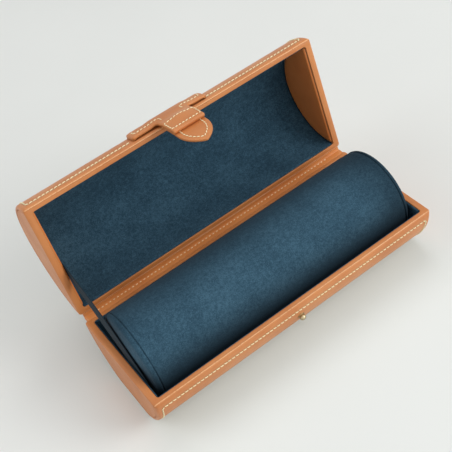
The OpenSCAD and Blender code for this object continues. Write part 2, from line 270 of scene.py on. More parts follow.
def patch(
    outline: Distance,
    spread: tuple[float, float, float, float],
    step: float,
    thick: float,
    soft: float,
    wrap: Place,
    under: float = 0.0,
    depth: Distance | None = None,
) -> Surface:
    """Cut a leather of any outline from a flat grid and lay it where it belongs.

    The grid's cells inside the outline are kept. The points on their border slide along the
    outline's slope onto it, so the cut edge is smooth. A point's height is the thickness times
    the quarter circle of its distance from the edge, and the underside is under times as deep
    the other way, so both meet at the edge.

    Args:
        outline: signed distance to the outline, negative inside, of an array of (u, v).
        spread: lowest and highest u, and lowest and highest v, of the grid.
        step: size of a cell.
        thick: height of the top over the edge.
        soft: width of the rounding inside the edge.
        wrap: from (u, v, height) to positions.
        under: depth of the underside below the edge, as a share of thick.
        depth: distance inside the edge over soft, where it isn't the outline's own.

    Returns:
        The closed skin, with flat coordinates u and v.
    """
    u = np.arange(spread[0], spread[1] + step, step)
    v = np.arange(spread[2], spread[3] + step, step)
    p = np.stack(np.meshgrid(u, v, indexing="ij"), -1)
    keep = outline((p[:-1, :-1] + p[1:, 1:]) / 2) < 0
    around = np.pad(keep, 1).astype(int)
    count = around[:-1, :-1] + around[1:, :-1] + around[:-1, 1:] + around[1:, 1:]
    border, inner = (count > 0) & (count < 4), count == 4
    e = 0.02
    for _ in range(3):
        q = p[border]
        gap = outline(q)
        slope = np.stack([outline(q + d) - outline(q - d) for d in ([e, 0.0], [0.0, e])], -1) / (2 * e)
        p[border] = q - slope * (gap / np.maximum((slope**2).sum(-1), 0.2))[:, None]
    inside = np.clip(depth(p) if depth else -outline(p) / soft, 0, 1)
    height = thick * np.sqrt(1 - (1 - inside) ** 2)
    height[border] = 0.0
    top_at = np.full(count.shape, -1)
    top_at[border | inner] = np.arange((border | inner).sum())
    low_at = top_at.copy()
    low_at[inner] = (border | inner).sum() + np.arange(inner.sum())
    i, j = np.nonzero(keep)

    def faces(at: NDArray[np.int64]) -> NDArray[np.int64]:
        """Return the kept cells' corners in one numbering of the points."""
        return np.stack([at[i, j], at[i + 1, j], at[i + 1, j + 1], at[i, j + 1]], -1)

    top = np.concatenate([p[border | inner], height[border | inner][:, None]], -1)
    low = np.concatenate([p[inner], -under * height[inner][:, None]], -1)
    both = np.vstack([top, low])
    quads = np.vstack([faces(top_at), faces(low_at)[:, ::-1]])
    return Surface(wrap(both), quads, both[:, :2].copy())


def box_distance(p: Points, half_u: float, half_v: float, corner: float) -> Points:
    """Distance to a rectangle about the origin with round corners: outside it the length of
    what lies past the corner's centre, inside it the nearer side, less the corner's radius."""
    q = np.abs(p) - [half_u - corner, half_v - corner]
    return np.linalg.norm(np.maximum(q, 0), axis=-1) + np.minimum(q.max(-1), 0) - corner


def blended(a: Points, b: Points, k: float) -> Points:
    """Smaller of two distances, rounded where they meet by a parabola of width k."""
    h = np.maximum(k - np.abs(a - b), 0) / k
    return np.minimum(a, b) - h * h * k / 4


def rounded_loop(
    half_u: float, half_v: float, corner: float, bends: int, sides: tuple[int, int]
) -> Points:
    """Points round a rectangle with round corners, anticlockwise from the +U side's start.

    Each corner is a quarter circle of bends steps, and the sides between are cut into the
    given counts, so two loops with the same counts match point for point.

    Args:
        half_u: half the rectangle's size along u.
        half_v: half the rectangle's size along v.
        corner: radius of its corners.
        bends: steps in a corner.
        sides: steps along a v side and along a u side.

    Returns:
        An array of (u, v), open at its end.
    """
    out = []
    centres = ((1, 1), (-1, 1), (-1, -1), (1, -1))
    for k, (su, sv) in enumerate(centres):
        a = (k + np.arange(bends + 1) / bends) * math.pi / 2
        c = np.array([su * (half_u - corner), sv * (half_v - corner)])
        arc = c + corner * np.stack([np.cos(a), np.sin(a)], -1)
        nu, nv = centres[(k + 1) % 4]
        nxt = np.array([nu * (half_u - corner), nv * (half_v - corner)])
        nxt = nxt + corner * np.array([math.cos(a[-1]), math.sin(a[-1])])
        n = sides[1] if k % 2 == 0 else sides[0]
        t = (np.arange(1, n) / n)[:, None]
        out += [arc, arc[-1] * (1 - t) + nxt * t]
    return np.vstack(out)


def below_rim(x: Points, radius: Points, angle: Points) -> Points:
    """Points at places along X, radii from the axis, and angles below the front rim."""
    return np.stack([np.broadcast_to(x, radius.shape), -radius * np.cos(angle), -radius * np.sin(angle)], -1)


def quarter(share: Points) -> Points:
    """Fall of a quarter circle, from 0 at the share 0 to 1 at the share 1, and held there."""
    return 1 - np.sqrt(1 - np.clip(share, 0, 1) ** 2)


def extruded(section: Points, x: Points, run: Points) -> Surface:
    """Carry a section of (y, z) along X in the row frame.

    Args:
        section: its points in order.
        x: places along X.
        run: the flat map's second coordinate at each point of the section.

    Returns:
        The skin.
    """
    points = np.zeros((len(x), len(section), 3))
    points[..., 0] = x[:, None]
    points[..., 1:] = section
    return lattice(in_row(points), paired(x[:, None], run, points.shape[:2]))


def lengths(line: Points) -> Points:
    """Distance along a line of points at each of them."""
    return np.concatenate([[0.0], np.cumsum(np.linalg.norm(np.diff(line, axis=0), axis=1))])


def taken(line: Points, at: Points) -> Points:
    """Points of a line at given distances along it."""
    return np.stack([np.interp(at, lengths(line), column) for column in line.T], -1)


def evenly(path: Points, pitch: float, closed: bool = False) -> tuple[Points, Points]:
    """Walk a path in steps of one length.

    Args:
        path: its points in order.
        pitch: wanted step, which is stretched a little so that a whole number fits.
        closed: whether the path returns to its start.

    Returns:
        The middle of each step, and the unit direction there.
    """
    line = np.vstack([path, path[:1]]) if closed else path
    total = lengths(line)[-1]
    count = max(1, round(total / pitch))
    mid = (np.arange(count) + 0.5) * total / count
    e = pitch * 0.3
    way = taken(line, np.minimum(mid + e, total)) - taken(line, np.maximum(mid - e, 0))
    return taken(line, mid), way / np.maximum(np.linalg.norm(way, axis=1, keepdims=True), 1e-9)


@dataclass(frozen=True)
class Stitching:
    """Saddle stitches: short threads that dip into the leather at both ends and lie aslant."""

    pitch: float = 3.3
    length: float = 3.1
    width: float = 0.76
    rise: float = 0.36
    slant: float = 13.0
    sunk: float = 0.12

    def sewn(self, path: Points, wrap: Place, closed: bool = False) -> Surface:
        """Sew along a path given in the leather's flat coordinates.

        Each thread is a spindle: along it, from -1 to 1, its radius is the fourth root of one
        minus the fourth power, and its middle stands proud by rise. It is turned by slant in
        the leather's plane, and its points go through wrap as (u, v, height).

        Args:
            path: the row's points as (u, v).
            wrap: from (u, v, height) to positions.
            closed: whether the row returns to its start.

        Returns:
            All the threads as one skin.
        """
        at, way = evenly(path, self.pitch, closed)
        a = math.radians(self.slant)
        way = way @ np.array([[math.cos(a), math.sin(a)], [-math.sin(a), math.cos(a)]])
        side = np.stack([-way[:, 1], way[:, 0]], -1)
        rings, sides = 9, 8
        s = np.sin(np.linspace(-1, 1, rings) * math.pi / 2)
        fat = np.maximum(1 - s**4, 0.003) ** 0.25 * self.width / 2
        b = np.arange(sides) * 2 * math.pi / sides
        along = np.repeat((s * self.length / 2)[:, None], sides, 1)
        across = fat[:, None] * np.cos(b)
        up = fat[:, None] * np.sin(b) + (self.rise * (1 - s**2) - self.sunk)[:, None]
        flat = (
            at[:, None, None]
            + along[None, ..., None] * way[:, None, None]
            + across[None, ..., None] * side[:, None, None]
        )
        high = np.broadcast_to(up, (len(at), rings, sides))[..., None]
        local = np.concatenate([flat, high], -1)
        one = lattice(np.zeros((rings, sides, 3)), np.zeros((rings, sides, 2))).quads
        quads = (one[None] + rings * sides * np.arange(len(at))[:, None, None]).reshape(-1, 4)
        shades = np.repeat(np.arange(len(at)) % 7 / 7.0, rings * sides)
        runs = np.tile(np.repeat(s, sides), len(at))
        return Surface(wrap(local.reshape(-1, 3)), quads, np.stack([runs, shades], -1))


def add_piece(
    name: str,
    surface: Surface,
    material: bpy.types.Material,
    body: str | None,
    slot: str,
    replaces: tuple[str, ...] = (),
) -> bpy.types.Object:
    """Put a skin into the scene as a piece of the case.

    Args:
        name: the piece's name.
        surface: its skin, in the row frame, in millimetres.
        material: its finish.
        body: the CAD body that it rides on, or None, where it is attached to no body.
        slot: the record's material slot that it stands for; not used.
        replaces: the CAD nodes that it hides.

    Returns:
        The new object, at the origin.
    """
    skin = surface.outward()
    mesh = bpy.data.meshes.new(name)
    mesh.vertices.add(len(skin.points))
    mesh.vertices.foreach_set("co", (skin.points * MM).astype(np.float32).ravel())
    mesh.loops.add(skin.quads.size)
    mesh.loops.foreach_set("vertex_index", skin.quads.astype(np.int32).ravel())
    mesh.polygons.add(len(skin.quads))
    mesh.polygons.foreach_set("loop_start", np.arange(0, skin.quads.size, 4, dtype=np.int32))
    mesh.update(calc_edges=True)
    mesh.polygons.foreach_set("use_smooth", np.ones(len(skin.quads), bool))
    layer = mesh.uv_layers.new(name="flat")
    layer.data.foreach_set("uv", (skin.flat[skin.quads.ravel()] * MM).astype(np.float32).ravel())
    mesh.validate()
    mesh.materials.append(material)
    piece = bpy.data.objects.new(name, mesh)
    bpy.context.scene.collection.objects.link(piece)
    if replaces:
        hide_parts(*replaces)
    if body:
        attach(piece, body)
    LOG.info("%s: %d faces, %s", name, len(skin.quads), body or "bent")
    return piece


def bend_end(y: float, z: float) -> tuple[float, float, float]:
    """End of a bend in the case's frame, in metres, from its place over the base's rim."""
    return 0, y * MM, (z + SIZE.base_h) * MM


# Finishes ------------------------------------------------------------------------------------


class Graph:
    """A node tree that is written as a chain of calls."""

    def __init__(self, tree: bpy.types.NodeTree) -> None:
        """Keep the tree that nodes go into."""
        self.tree = tree

    def put(self, node: bpy.types.Node, label: str, value: object) -> None:
        """Fill one input of a node.

        Args:
            node: the node.
            label: the input's name, with underscores for spaces, or its number.
            value: its value, or a socket that is linked to it.
        """
        socket = node.inputs[int(label)] if label.isdigit() else node.inputs[label.replace("_", " ")]
        if isinstance(value, Socket):
            self.tree.links.new(value, socket)
        else:
            socket.default_value = value

    def fill(self, node: bpy.types.Node, **values: object) -> None:
        """Fill several inputs of a node, each by its name."""
        for label, value in values.items():
            self.put(node, label, value)

    def node(self, kind: str, **values: object) -> bpy.types.Node:
        """Add a node.

        Args:
            kind: the node's type, such as ShaderNodeMath.
            values: settings by name; a name that starts with in_ fills an input.

        Returns:
            The node.
        """
        made = self.tree.nodes.new(kind)
        for key, value in values.items():
            if key.startswith("in_"):
                self.put(made, key[3:], value)
            else:
                setattr(made, key, value)
        return made

    def spot(self) -> Socket:
        """Return the place on the piece, in the object's own coordinates."""
        return self.node("ShaderNodeTexCoord").outputs["Object"]

    def flat(self) -> Socket:
        """Return the place on the piece's flat map."""
        return self.node("ShaderNodeUVMap", uv_map="flat").outputs[0]

    def flat_part(self, index: int) -> Socket:
        """Return one coordinate of the flat map, by its number."""
        return self.node("ShaderNodeSeparateXYZ", in_0=self.flat()).outputs[index]

    def math(self, operation: str, a: object, b: object = 0.0) -> Socket:
        """Return the socket of one sum on two values."""
        return self.node("ShaderNodeMath", operation=operation, in_0=a, in_1=b).outputs[0]

    def vector(self, operation: str, *values: object) -> Socket:
        """Return the socket of one sum on vectors."""
        inputs = {f"in_{k}": value for k, value in enumerate(values)}
        return self.node("ShaderNodeVectorMath", operation=operation, **inputs).outputs[0]

    def noise(self, vector: object, scale: object, detail: float = 3.0, rough: float = 0.5) -> Socket:
        """Return a noise's value at a place."""
        made = self.node(
            "ShaderNodeTexNoise", in_Vector=vector, in_Scale=scale, in_Detail=detail, in_Roughness=rough
        )
        return made.outputs["Fac"]

    def ramp(
        self, value: object, low: float, high: float, to_low: float = 0.0, to_high: float = 1.0
    ) -> Socket:
        """Return value moved smoothly from the range low..high to to_low..to_high, and held there."""
        made = self.node(
            "ShaderNodeMapRange", interpolation_type="SMOOTHSTEP",
            in_Value=value, in_From_Min=low, in_From_Max=high, in_To_Min=to_low, in_To_Max=to_high,
        )
        return made.outputs["Result"]

    def mix(self, share: object, a: object, b: object) -> Socket:
        """Return the colour that lies share of the way from a to b, each a socket or a colour."""
        a, b = ((*c, 1.0) if isinstance(c, tuple) else c for c in (a, b))
        made = self.node("ShaderNodeMix", data_type="RGBA", clamp_factor=True, in_0=share, in_6=a, in_7=b)
        return made.outputs[2]

    def bump(self, height: object, distance: float, strength: float) -> Socket:
        """Return the normal that a height gives."""
        made = self.node("ShaderNodeBump", in_Height=height, in_Distance=distance, in_Strength=strength)
        return made.outputs[0]


def new_group(
    name: str, inputs: dict[str, object], outputs: tuple[str, ...]
) -> tuple[Graph, bpy.types.Node, bpy.types.Node]:
    """Make an empty shader group.

    Args:
        name: its name.
        inputs: default by name: a number, a vector, or None for a vector that is always linked.
        outputs: names of its outputs, which are numbers.

    Returns:
        The group's graph, its input node and its output node.
    """
    tree = bpy.data.node_groups.new(name, "ShaderNodeTree")
    for label, default in inputs.items():
        kind = "NodeSocketFloat" if isinstance(default, float) else "NodeSocketVector"
        socket = tree.interface.new_socket(name=label, in_out="INPUT", socket_type=kind)
        if default is not None:
            socket.default_value = default
    for label in outputs:
        tree.interface.new_socket(name=label, in_out="OUTPUT", socket_type="NodeSocketFloat")
    return Graph(tree), tree.nodes.new("NodeGroupInput"), tree.nodes.new("NodeGroupOutput")


def grain_group() -> bpy.types.NodeTree:
    """Smooth calf's surface: pebbles from cell borders, pores, and slow clouds of dye.

    Returns:
        A group with outputs Height, Cloud and Pore, each from 0 to 1.
    """
    inputs = {"Vector": None, "Pebble": 1400.0}
    graph, source, sink = new_group("leather_grain", inputs, ("Height", "Cloud", "Pore"))
    place = source.outputs["Vector"]
    wander = graph.node("ShaderNodeTexNoise", in_Vector=place, in_Scale=420.0, in_Detail=2.0)
    bent = graph.vector("MULTIPLY_ADD", wander.outputs["Color"], (0.0007, 0.0007, 0.0007), place)
    borders = graph.node(
        "ShaderNodeTexVoronoi", feature="DISTANCE_TO_EDGE", in_Vector=bent, in_Scale=source.outputs["Pebble"]
    )
    pebble = graph.ramp(borders.outputs["Distance"], 0.0, 0.22)
    pores = graph.ramp(graph.noise(place, 2600.0, 2.0), 0.30, 0.46)
    height = graph.math("ADD", graph.math("MULTIPLY", pebble, 0.65), graph.math("MULTIPLY", pores, 0.35))
    graph.fill(sink, Height=height, Cloud=graph.noise(place, 26.0, 4.0, 0.55), Pore=pores)
    return graph.tree


def seam_group() -> bpy.types.NodeTree:
    """Mark of a sewn row or a pressed crease along a rectangle on a leather's flat map.

    The distance to the rectangle is worked out from the flat coordinates: how far the place
    lies past its nearer side. The dip is a bell of that distance.

    Returns:
        A group with the output Dip, 1 on the line and 0 a few widths away.
    """
    inputs = {"Flat": None, "Middle": (0.0, 0.0, 0.0), "Half": (0.1, 0.1, 0.0), "Width": 0.0008}
    graph, source, sink = new_group("seam_line", inputs, ("Dip",))
    off = graph.vector("SUBTRACT", source.outputs["Flat"], source.outputs["Middle"])
    past = graph.vector("SUBTRACT", graph.vector("ABSOLUTE", off), source.outputs["Half"])
    split = graph.node("ShaderNodeSeparateXYZ", in_0=past)
    gap = graph.math("MAXIMUM", split.outputs[0], split.outputs[1])
    ratio = graph.math("DIVIDE", gap, source.outputs["Width"])
    fall = graph.math("MULTIPLY", graph.math("MULTIPLY", ratio, ratio), -1.0)
    graph.fill(sink, Dip=graph.math("POWER", math.e, fall))
    return graph.tree


def nap_group() -> bpy.types.NodeTree:
    """Suede's nap: patches brushed light or dark, finer mottling in them, and single fibres.

    Returns:
        A group with outputs Brush and Fibre, each from 0 to 1.
    """
    graph, source, sink = new_group("suede_nap", {"Vector": None, "Patch": 38.0}, ("Brush", "Fibre"))
    place = source.outputs["Vector"]
    patches = graph.math("MULTIPLY", graph.noise(place, source.outputs["Patch"], 5.0, 0.62), 0.4)
    fine = graph.math("MULTIPLY", graph.noise(place, 420.0, 5.0, 0.7), 0.6)
    fibre = graph.noise(place, 1150.0, 4.0, 0.8)
    graph.fill(sink, Brush=graph.ramp(graph.math("ADD", patches, fine), 0.34, 0.66), Fibre=fibre)
    return graph.tree


class Effects:
    """The shader groups that several finishes use, each built once."""

    def __init__(self) -> None:
        """Build the groups."""
        self.grain = grain_group()
        self.seam = seam_group()
        self.nap = nap_group()


def start_material(name: str) -> tuple[bpy.types.Material, Graph, bpy.types.Node]:
    """Make an empty material with its shader wired to the output.

    Args:
        name: its name.

    Returns:
        The material, its graph and its Principled BSDF.
    """
    material = bpy.data.materials.new(name)
    material.use_nodes = True
    material.node_tree.nodes.clear()
    graph = Graph(material.node_tree)
    shader = graph.node("ShaderNodeBsdfPrincipled")
    graph.node("ShaderNodeOutputMaterial", in_Surface=shader.outputs[0])
    return material, graph, shader


@dataclass(frozen=True)
class SeamMark:
    """A rectangle on the flat map, in millimetres, along which a finish is pressed or lightened."""

    middle: tuple[float, float]
    half: tuple[float, float]
    width: float
    press: float
    lighten: float = 0.0


@dataclass(frozen=True)
class Leather:
    """Vegetable-tanned calf: clouds in the dye, fine pebbles, pores, and lines along its seams."""

    name: str
    colour: Colour
    dark: Colour
    pale: Colour = (0.84, 0.50, 0.25)
    roughness: float = 0.44
    bounce: Colour | None = None
    sheen: float = 0.04
    grain: float = 0.05
    seams: tuple[SeamMark, ...] = ()

    def made(self, effects: Effects) -> bpy.types.Material:
        """Build the finish.

        The colour goes from dark to the leather's own by the dye's clouds and the pores, and
        to pale on lines that are pressed and waxed; that pale is partly a painted highlight along
        the line. Seams lower the bump's height. Where bounce is given, the leather throws light
        of that colour on what stands round it.

        Args:
            effects: the shared groups.

        Returns:
            The material.
        """
        material, graph, shader = start_material(self.name)
        spot = graph.spot()
        grain = graph.node("ShaderNodeGroup", node_tree=effects.grain, in_Vector=spot)
        cloud = grain.outputs["Cloud"]
        colour = graph.mix(graph.ramp(cloud, 0.28, 0.72), self.dark, self.colour)
        speck = graph.math("MULTIPLY", graph.math("SUBTRACT", 1.0, grain.outputs["Pore"]), 0.22)
        colour = graph.mix(speck, colour, self.dark)
        height = graph.math("MULTIPLY", grain.outputs["Height"], self.grain)
        for seam in self.seams:
            middle, half = ((u * MM, v * MM, 0.0) for u, v in (seam.middle, seam.half))
            mark = graph.node(
                "ShaderNodeGroup", node_tree=effects.seam, in_Flat=graph.flat(),
                in_Middle=middle, in_Half=half, in_Width=seam.width * MM,
            )
            dip = mark.outputs["Dip"]
            height = graph.math("SUBTRACT", height, graph.math("MULTIPLY", dip, seam.press))
            if seam.lighten > 0:
                # The pale line is partly waxed leather and partly a painted highlight, broken by noise.
                wax_and_highlight = graph.ramp(graph.noise(spot, 700.0, 3.0, 0.6), 0.34, 0.56, 0.25, seam.lighten)
                colour = graph.mix(graph.math("MULTIPLY", dip, wax_and_highlight), colour, self.pale)
            else:
                colour = graph.mix(graph.math("MULTIPLY", dip, 0.35), colour, self.dark)
        if self.bounce:
            scattered = graph.node("ShaderNodeLightPath").outputs["Is Diffuse Ray"]
            colour = graph.mix(scattered, colour, self.bounce)
        graph.fill(
            shader,
            Base_Color=colour,
            Roughness=graph.ramp(cloud, 0.2, 0.8, self.roughness + 0.06, self.roughness - 0.05),
            Normal=graph.bump(height, 0.0006, 0.8),
            Specular_IOR_Level=0.5,
            Sheen_Weight=self.sheen,
            Sheen_Roughness=0.4,
            Sheen_Tint=(1.0, 0.93, 0.86, 1.0),
        )
        return material


@dataclass(frozen=True)
class Suede:
    """Brushed suede: a matt ground whose nap is lighter or darker in patches, with painted shade along given
    rows of its flat map.
    """

    name: str
    colour: Colour
    dark: Colour
    light: Colour
    sheen: float = 0.06
    patch: float = 38.0
    painted_shade_rows: tuple[tuple[int, float, float, float], ...] = ()

    def made(self, effects: Effects) -> bpy.types.Material:
        """Build the finish: the nap's brush mixes dark, plain and light, its fibres give the bump.

        Each row of painted_shade_rows paints shade on one side of the piece: the flat map's
        coordinate, the places in millimetres where the painted shade begins and is full, and its share.

        Args:
            effects: the shared groups.

        Returns:
            The material.
        """
        material, graph, shader = start_material(self.name)
        spot = graph.spot()
        nap = graph.node("ShaderNodeGroup", node_tree=effects.nap, in_Vector=spot, in_Patch=self.patch)
        brush, fibre = nap.outputs["Brush"], nap.outputs["Fibre"]
        colour = graph.mix(graph.ramp(brush, 0.0, 0.6), self.dark, self.colour)
        colour = graph.mix(graph.ramp(brush, 0.5, 1.0), colour, self.light)
        colour = graph.mix(graph.ramp(fibre, 0.5, 0.64, 0.0, 0.9), colour, self.light)
        colour = graph.mix(graph.ramp(fibre, 0.36, 0.5, 0.9, 0.0), colour, self.dark)
        # Painted shade: rows of the flat map darken the colour towards a quarter of the dark colour.
        shade = tuple(0.25 * c for c in self.dark)
        for coordinate, begins, full, share in self.painted_shade_rows:
            dark = graph.ramp(graph.flat_part(coordinate), begins * MM, full * MM, 0.0, share)
            colour = graph.mix(dark, colour, shade)
        graph.fill(
            shader,
            Base_Color=colour,
            Normal=graph.bump(fibre, 0.0003, 0.5),
            Roughness=0.95,
            Specular_IOR_Level=0.12,
            Sheen_Weight=self.sheen,
            Sheen_Roughness=0.45,
            Sheen_Tint=(0.62, 0.78, 1.0, 1.0),
        )
        return material


@dataclass(frozen=True)
class Thread:
    """Waxed linen thread, twisted, a little darker where it enters the leather."""

    name: str
    colour: Colour
    shade: Colour

    def made(self) -> bpy.types.Material:
        """Build the finish from the stitch's own map, whose first coordinate runs along the thread.

        Returns:
            The material.
        """
        material, graph, shader = start_material(self.name)
        along = graph.math("MULTIPLY", graph.flat_part(0), 1 / MM)
        tip = graph.ramp(graph.math("ABSOLUTE", along), 0.55, 1.0)
        ply = graph.node(
            "ShaderNodeTexWave", wave_type="BANDS", bands_direction="DIAGONAL",
            in_Vector=graph.spot(), in_Scale=480.0, in_Distortion=1.0,
        )
        normal = graph.bump(ply.outputs["Fac"], 0.0001, 0.6)
        graph.fill(shader, Base_Color=graph.mix(tip, self.colour, self.shade), Normal=normal, Roughness=0.6)
        return material


@dataclass(frozen=True)
class Ribbon:
    """Grosgrain: fine ribs across the ribbon."""

    name: str
    colour: Colour
    light: Colour

    def made(self) -> bpy.types.Material:
        """Build the finish: a wave along the ribbon's length gives its ribs, noise its yarn.

        Returns:
            The material.
        """
        material, graph, shader = start_material(self.name)
        flat = graph.flat()
        waves = graph.node(
            "ShaderNodeTexWave", wave_type="BANDS", bands_direction="X", in_Vector=flat, in_Scale=330.0
        )
        ribs = waves.outputs["Fac"]
        yarn = graph.math("MULTIPLY", ribs, graph.noise(flat, 4000.0))
        graph.fill(
            shader,
            Base_Color=graph.mix(yarn, self.colour, self.light),
            Normal=graph.bump(ribs, 0.0002, 0.7),
            Roughness=0.75,
            Specular_IOR_Level=0.25,
        )
        return material


@dataclass(frozen=True)
class Metal:
    """Turned metal with fine lathe lines and a trace of tarnish."""

    name: str
    colour: Colour
    dull: Colour
    roughness: float = 0.3

    def made(self) -> bpy.types.Material:
        """Build the finish: noise spreads the tarnish, and roughens the metal where it lies.

        Returns:
            The material.
        """
        material, graph, shader = start_material(self.name)
        spot = graph.spot()
        stain = graph.ramp(graph.noise(spot, 700.0, 4.0), 0.45, 0.8)
        rough = graph.ramp(graph.noise(spot, 1500.0), 0.2, 0.8, self.roughness, self.roughness + 0.15)
        graph.fill(
            shader,
            Base_Color=graph.mix(stain, self.colour, self.dull),
            Roughness=rough,
            Normal=graph.bump(graph.noise(spot, 5200.0), 0.00005, 0.25),
            Metallic=1.0,
        )
        return material


@dataclass(frozen=True)
class Plain:
    """Board inside the case: two tones mixed by a noise, with a matching bump."""

    name: str
    colour: Colour
    dark: Colour
    scale: float

    def made(self) -> bpy.types.Material:
        """Build the finish.

        Returns:
            The material.
        """
        material, graph, shader = start_material(self.name)
        fleck = graph.noise(graph.spot(), self.scale, 5.0, 0.65)
        colour = graph.mix(graph.ramp(fleck, 0.35, 0.65), self.dark, self.colour)
        graph.fill(shader, Base_Color=colour, Normal=graph.bump(fleck, 0.0004, 0.5), Roughness=0.85)
        return material


# Numbers of the palette are linear light, not display values.
TAN = {"colour": (0.61, 0.228, 0.064), "dark": (0.52, 0.172, 0.042)}
SEWN_MARGIN = 4.6
SEWN_DROP = {Half.BASE: 7.4, Half.LID: 6.0}
SEWN_CORNER = 2.5


def sewn_reach(half: Half) -> tuple[float, float]:
    """Half length and half width of the rectangle on the flat wall that a half is sewn along."""
    return SIZE.end_x - SEWN_MARGIN, SHELL_ARC / 2 - SEWN_DROP[half]


class Palette:
    """Every finish of the case, built once."""

    def __init__(self) -> None:
        """Build the shared groups and the materials."""
        fx = Effects()
        line = SeamMark((0.0, 0.0), (SIZE.end_x * 2, SIZE.shell_r - 1.5), 0.3, 0.3)
        # crease: a raised line made pale, partly waxed leather and partly a painted highlight along the rim's
        # outer edge.
        crease = SeamMark((0.0, 0.0), (SIZE.end_x * 2, SIZE.shell_r - 0.75), 0.34, -0.2, 0.85)
        self.cover = {half: self.cover_leather(fx, half) for half in Half}
        self.rim = Leather("rim_leather", **TAN, seams=(line, crease)).made(fx)
        self.plain = Leather("tan_leather", **TAN).made(fx)
        # Painted light: the hinge's leather is the tan leather made brighter, to lift its shaded valley.
        self.hinge = Leather("hinge_leather", colour=(0.70, 0.262, 0.070), dark=(0.60, 0.198, 0.046)).made(fx)
        # Painted light: the lid's end facings are the tan leather made brighter, to lift them out of the
        # shade in the lid's ends.
        self.facing = Leather(
            "facing_leather", colour=(0.80, 0.262, 0.062), dark=(0.69, 0.20, 0.042), roughness=0.5, sheen=0.03
        ).made(fx)
        self.suede = Suede(
            "navy_suede", (0.029, 0.071, 0.108), (0.016, 0.043, 0.068), (0.048, 0.108, 0.157)
        ).made(fx)
        # The roll's rows paint shade: darker towards its back, its lower front in the gap and its right end.
        self.roll = Suede(
            "roll_suede", (0.034, 0.083, 0.124), (0.022, 0.056, 0.087), (0.052, 0.116, 0.168),
            painted_shade_rows=((1, 78.0, 25.0, 0.75), (1, 84.0, 114.0, 0.9), (0, 74.0, 112.0, 0.6)),
        ).made(fx)
        self.thread = Thread("cream_thread", (0.93, 0.84, 0.55), (0.62, 0.48, 0.26)).made()
        self.ribbon = Ribbon("navy_ribbon", (0.007, 0.017, 0.026), (0.018, 0.038, 0.055)).made()
        self.brass = Metal("stud_brass", (0.52, 0.43, 0.27), (0.25, 0.18, 0.09)).made()
        self.steel = Metal("screw_steel", (0.55, 0.56, 0.58), (0.30, 0.29, 0.28)).made()
        self.board = Plain("grey_board", (0.34, 0.29, 0.22), (0.22, 0.18, 0.13), 1200.0).made()

    def cover_leather(self, fx: Effects, half: Half) -> bpy.types.Material:
        """Build the leather drawn over one half, marked along its sewn rows.

        The light that it throws on other things is paler than it looks, as the photograph's
        white table shows.

        Args:
            fx: the shared groups.
            half: base or lid.

        Returns:
            The material.
        """
        sewn = SeamMark((0.0, SHELL_ARC / 2), sewn_reach(half), 0.8, 0.15)
        name = f"{half.value}_cover_leather"
        return Leather(name, **TAN, seams=(sewn,), bounce=(0.52, 0.45, 0.36)).made(fx)


# Sub-assemblies ------------------------------------------------------------------------------


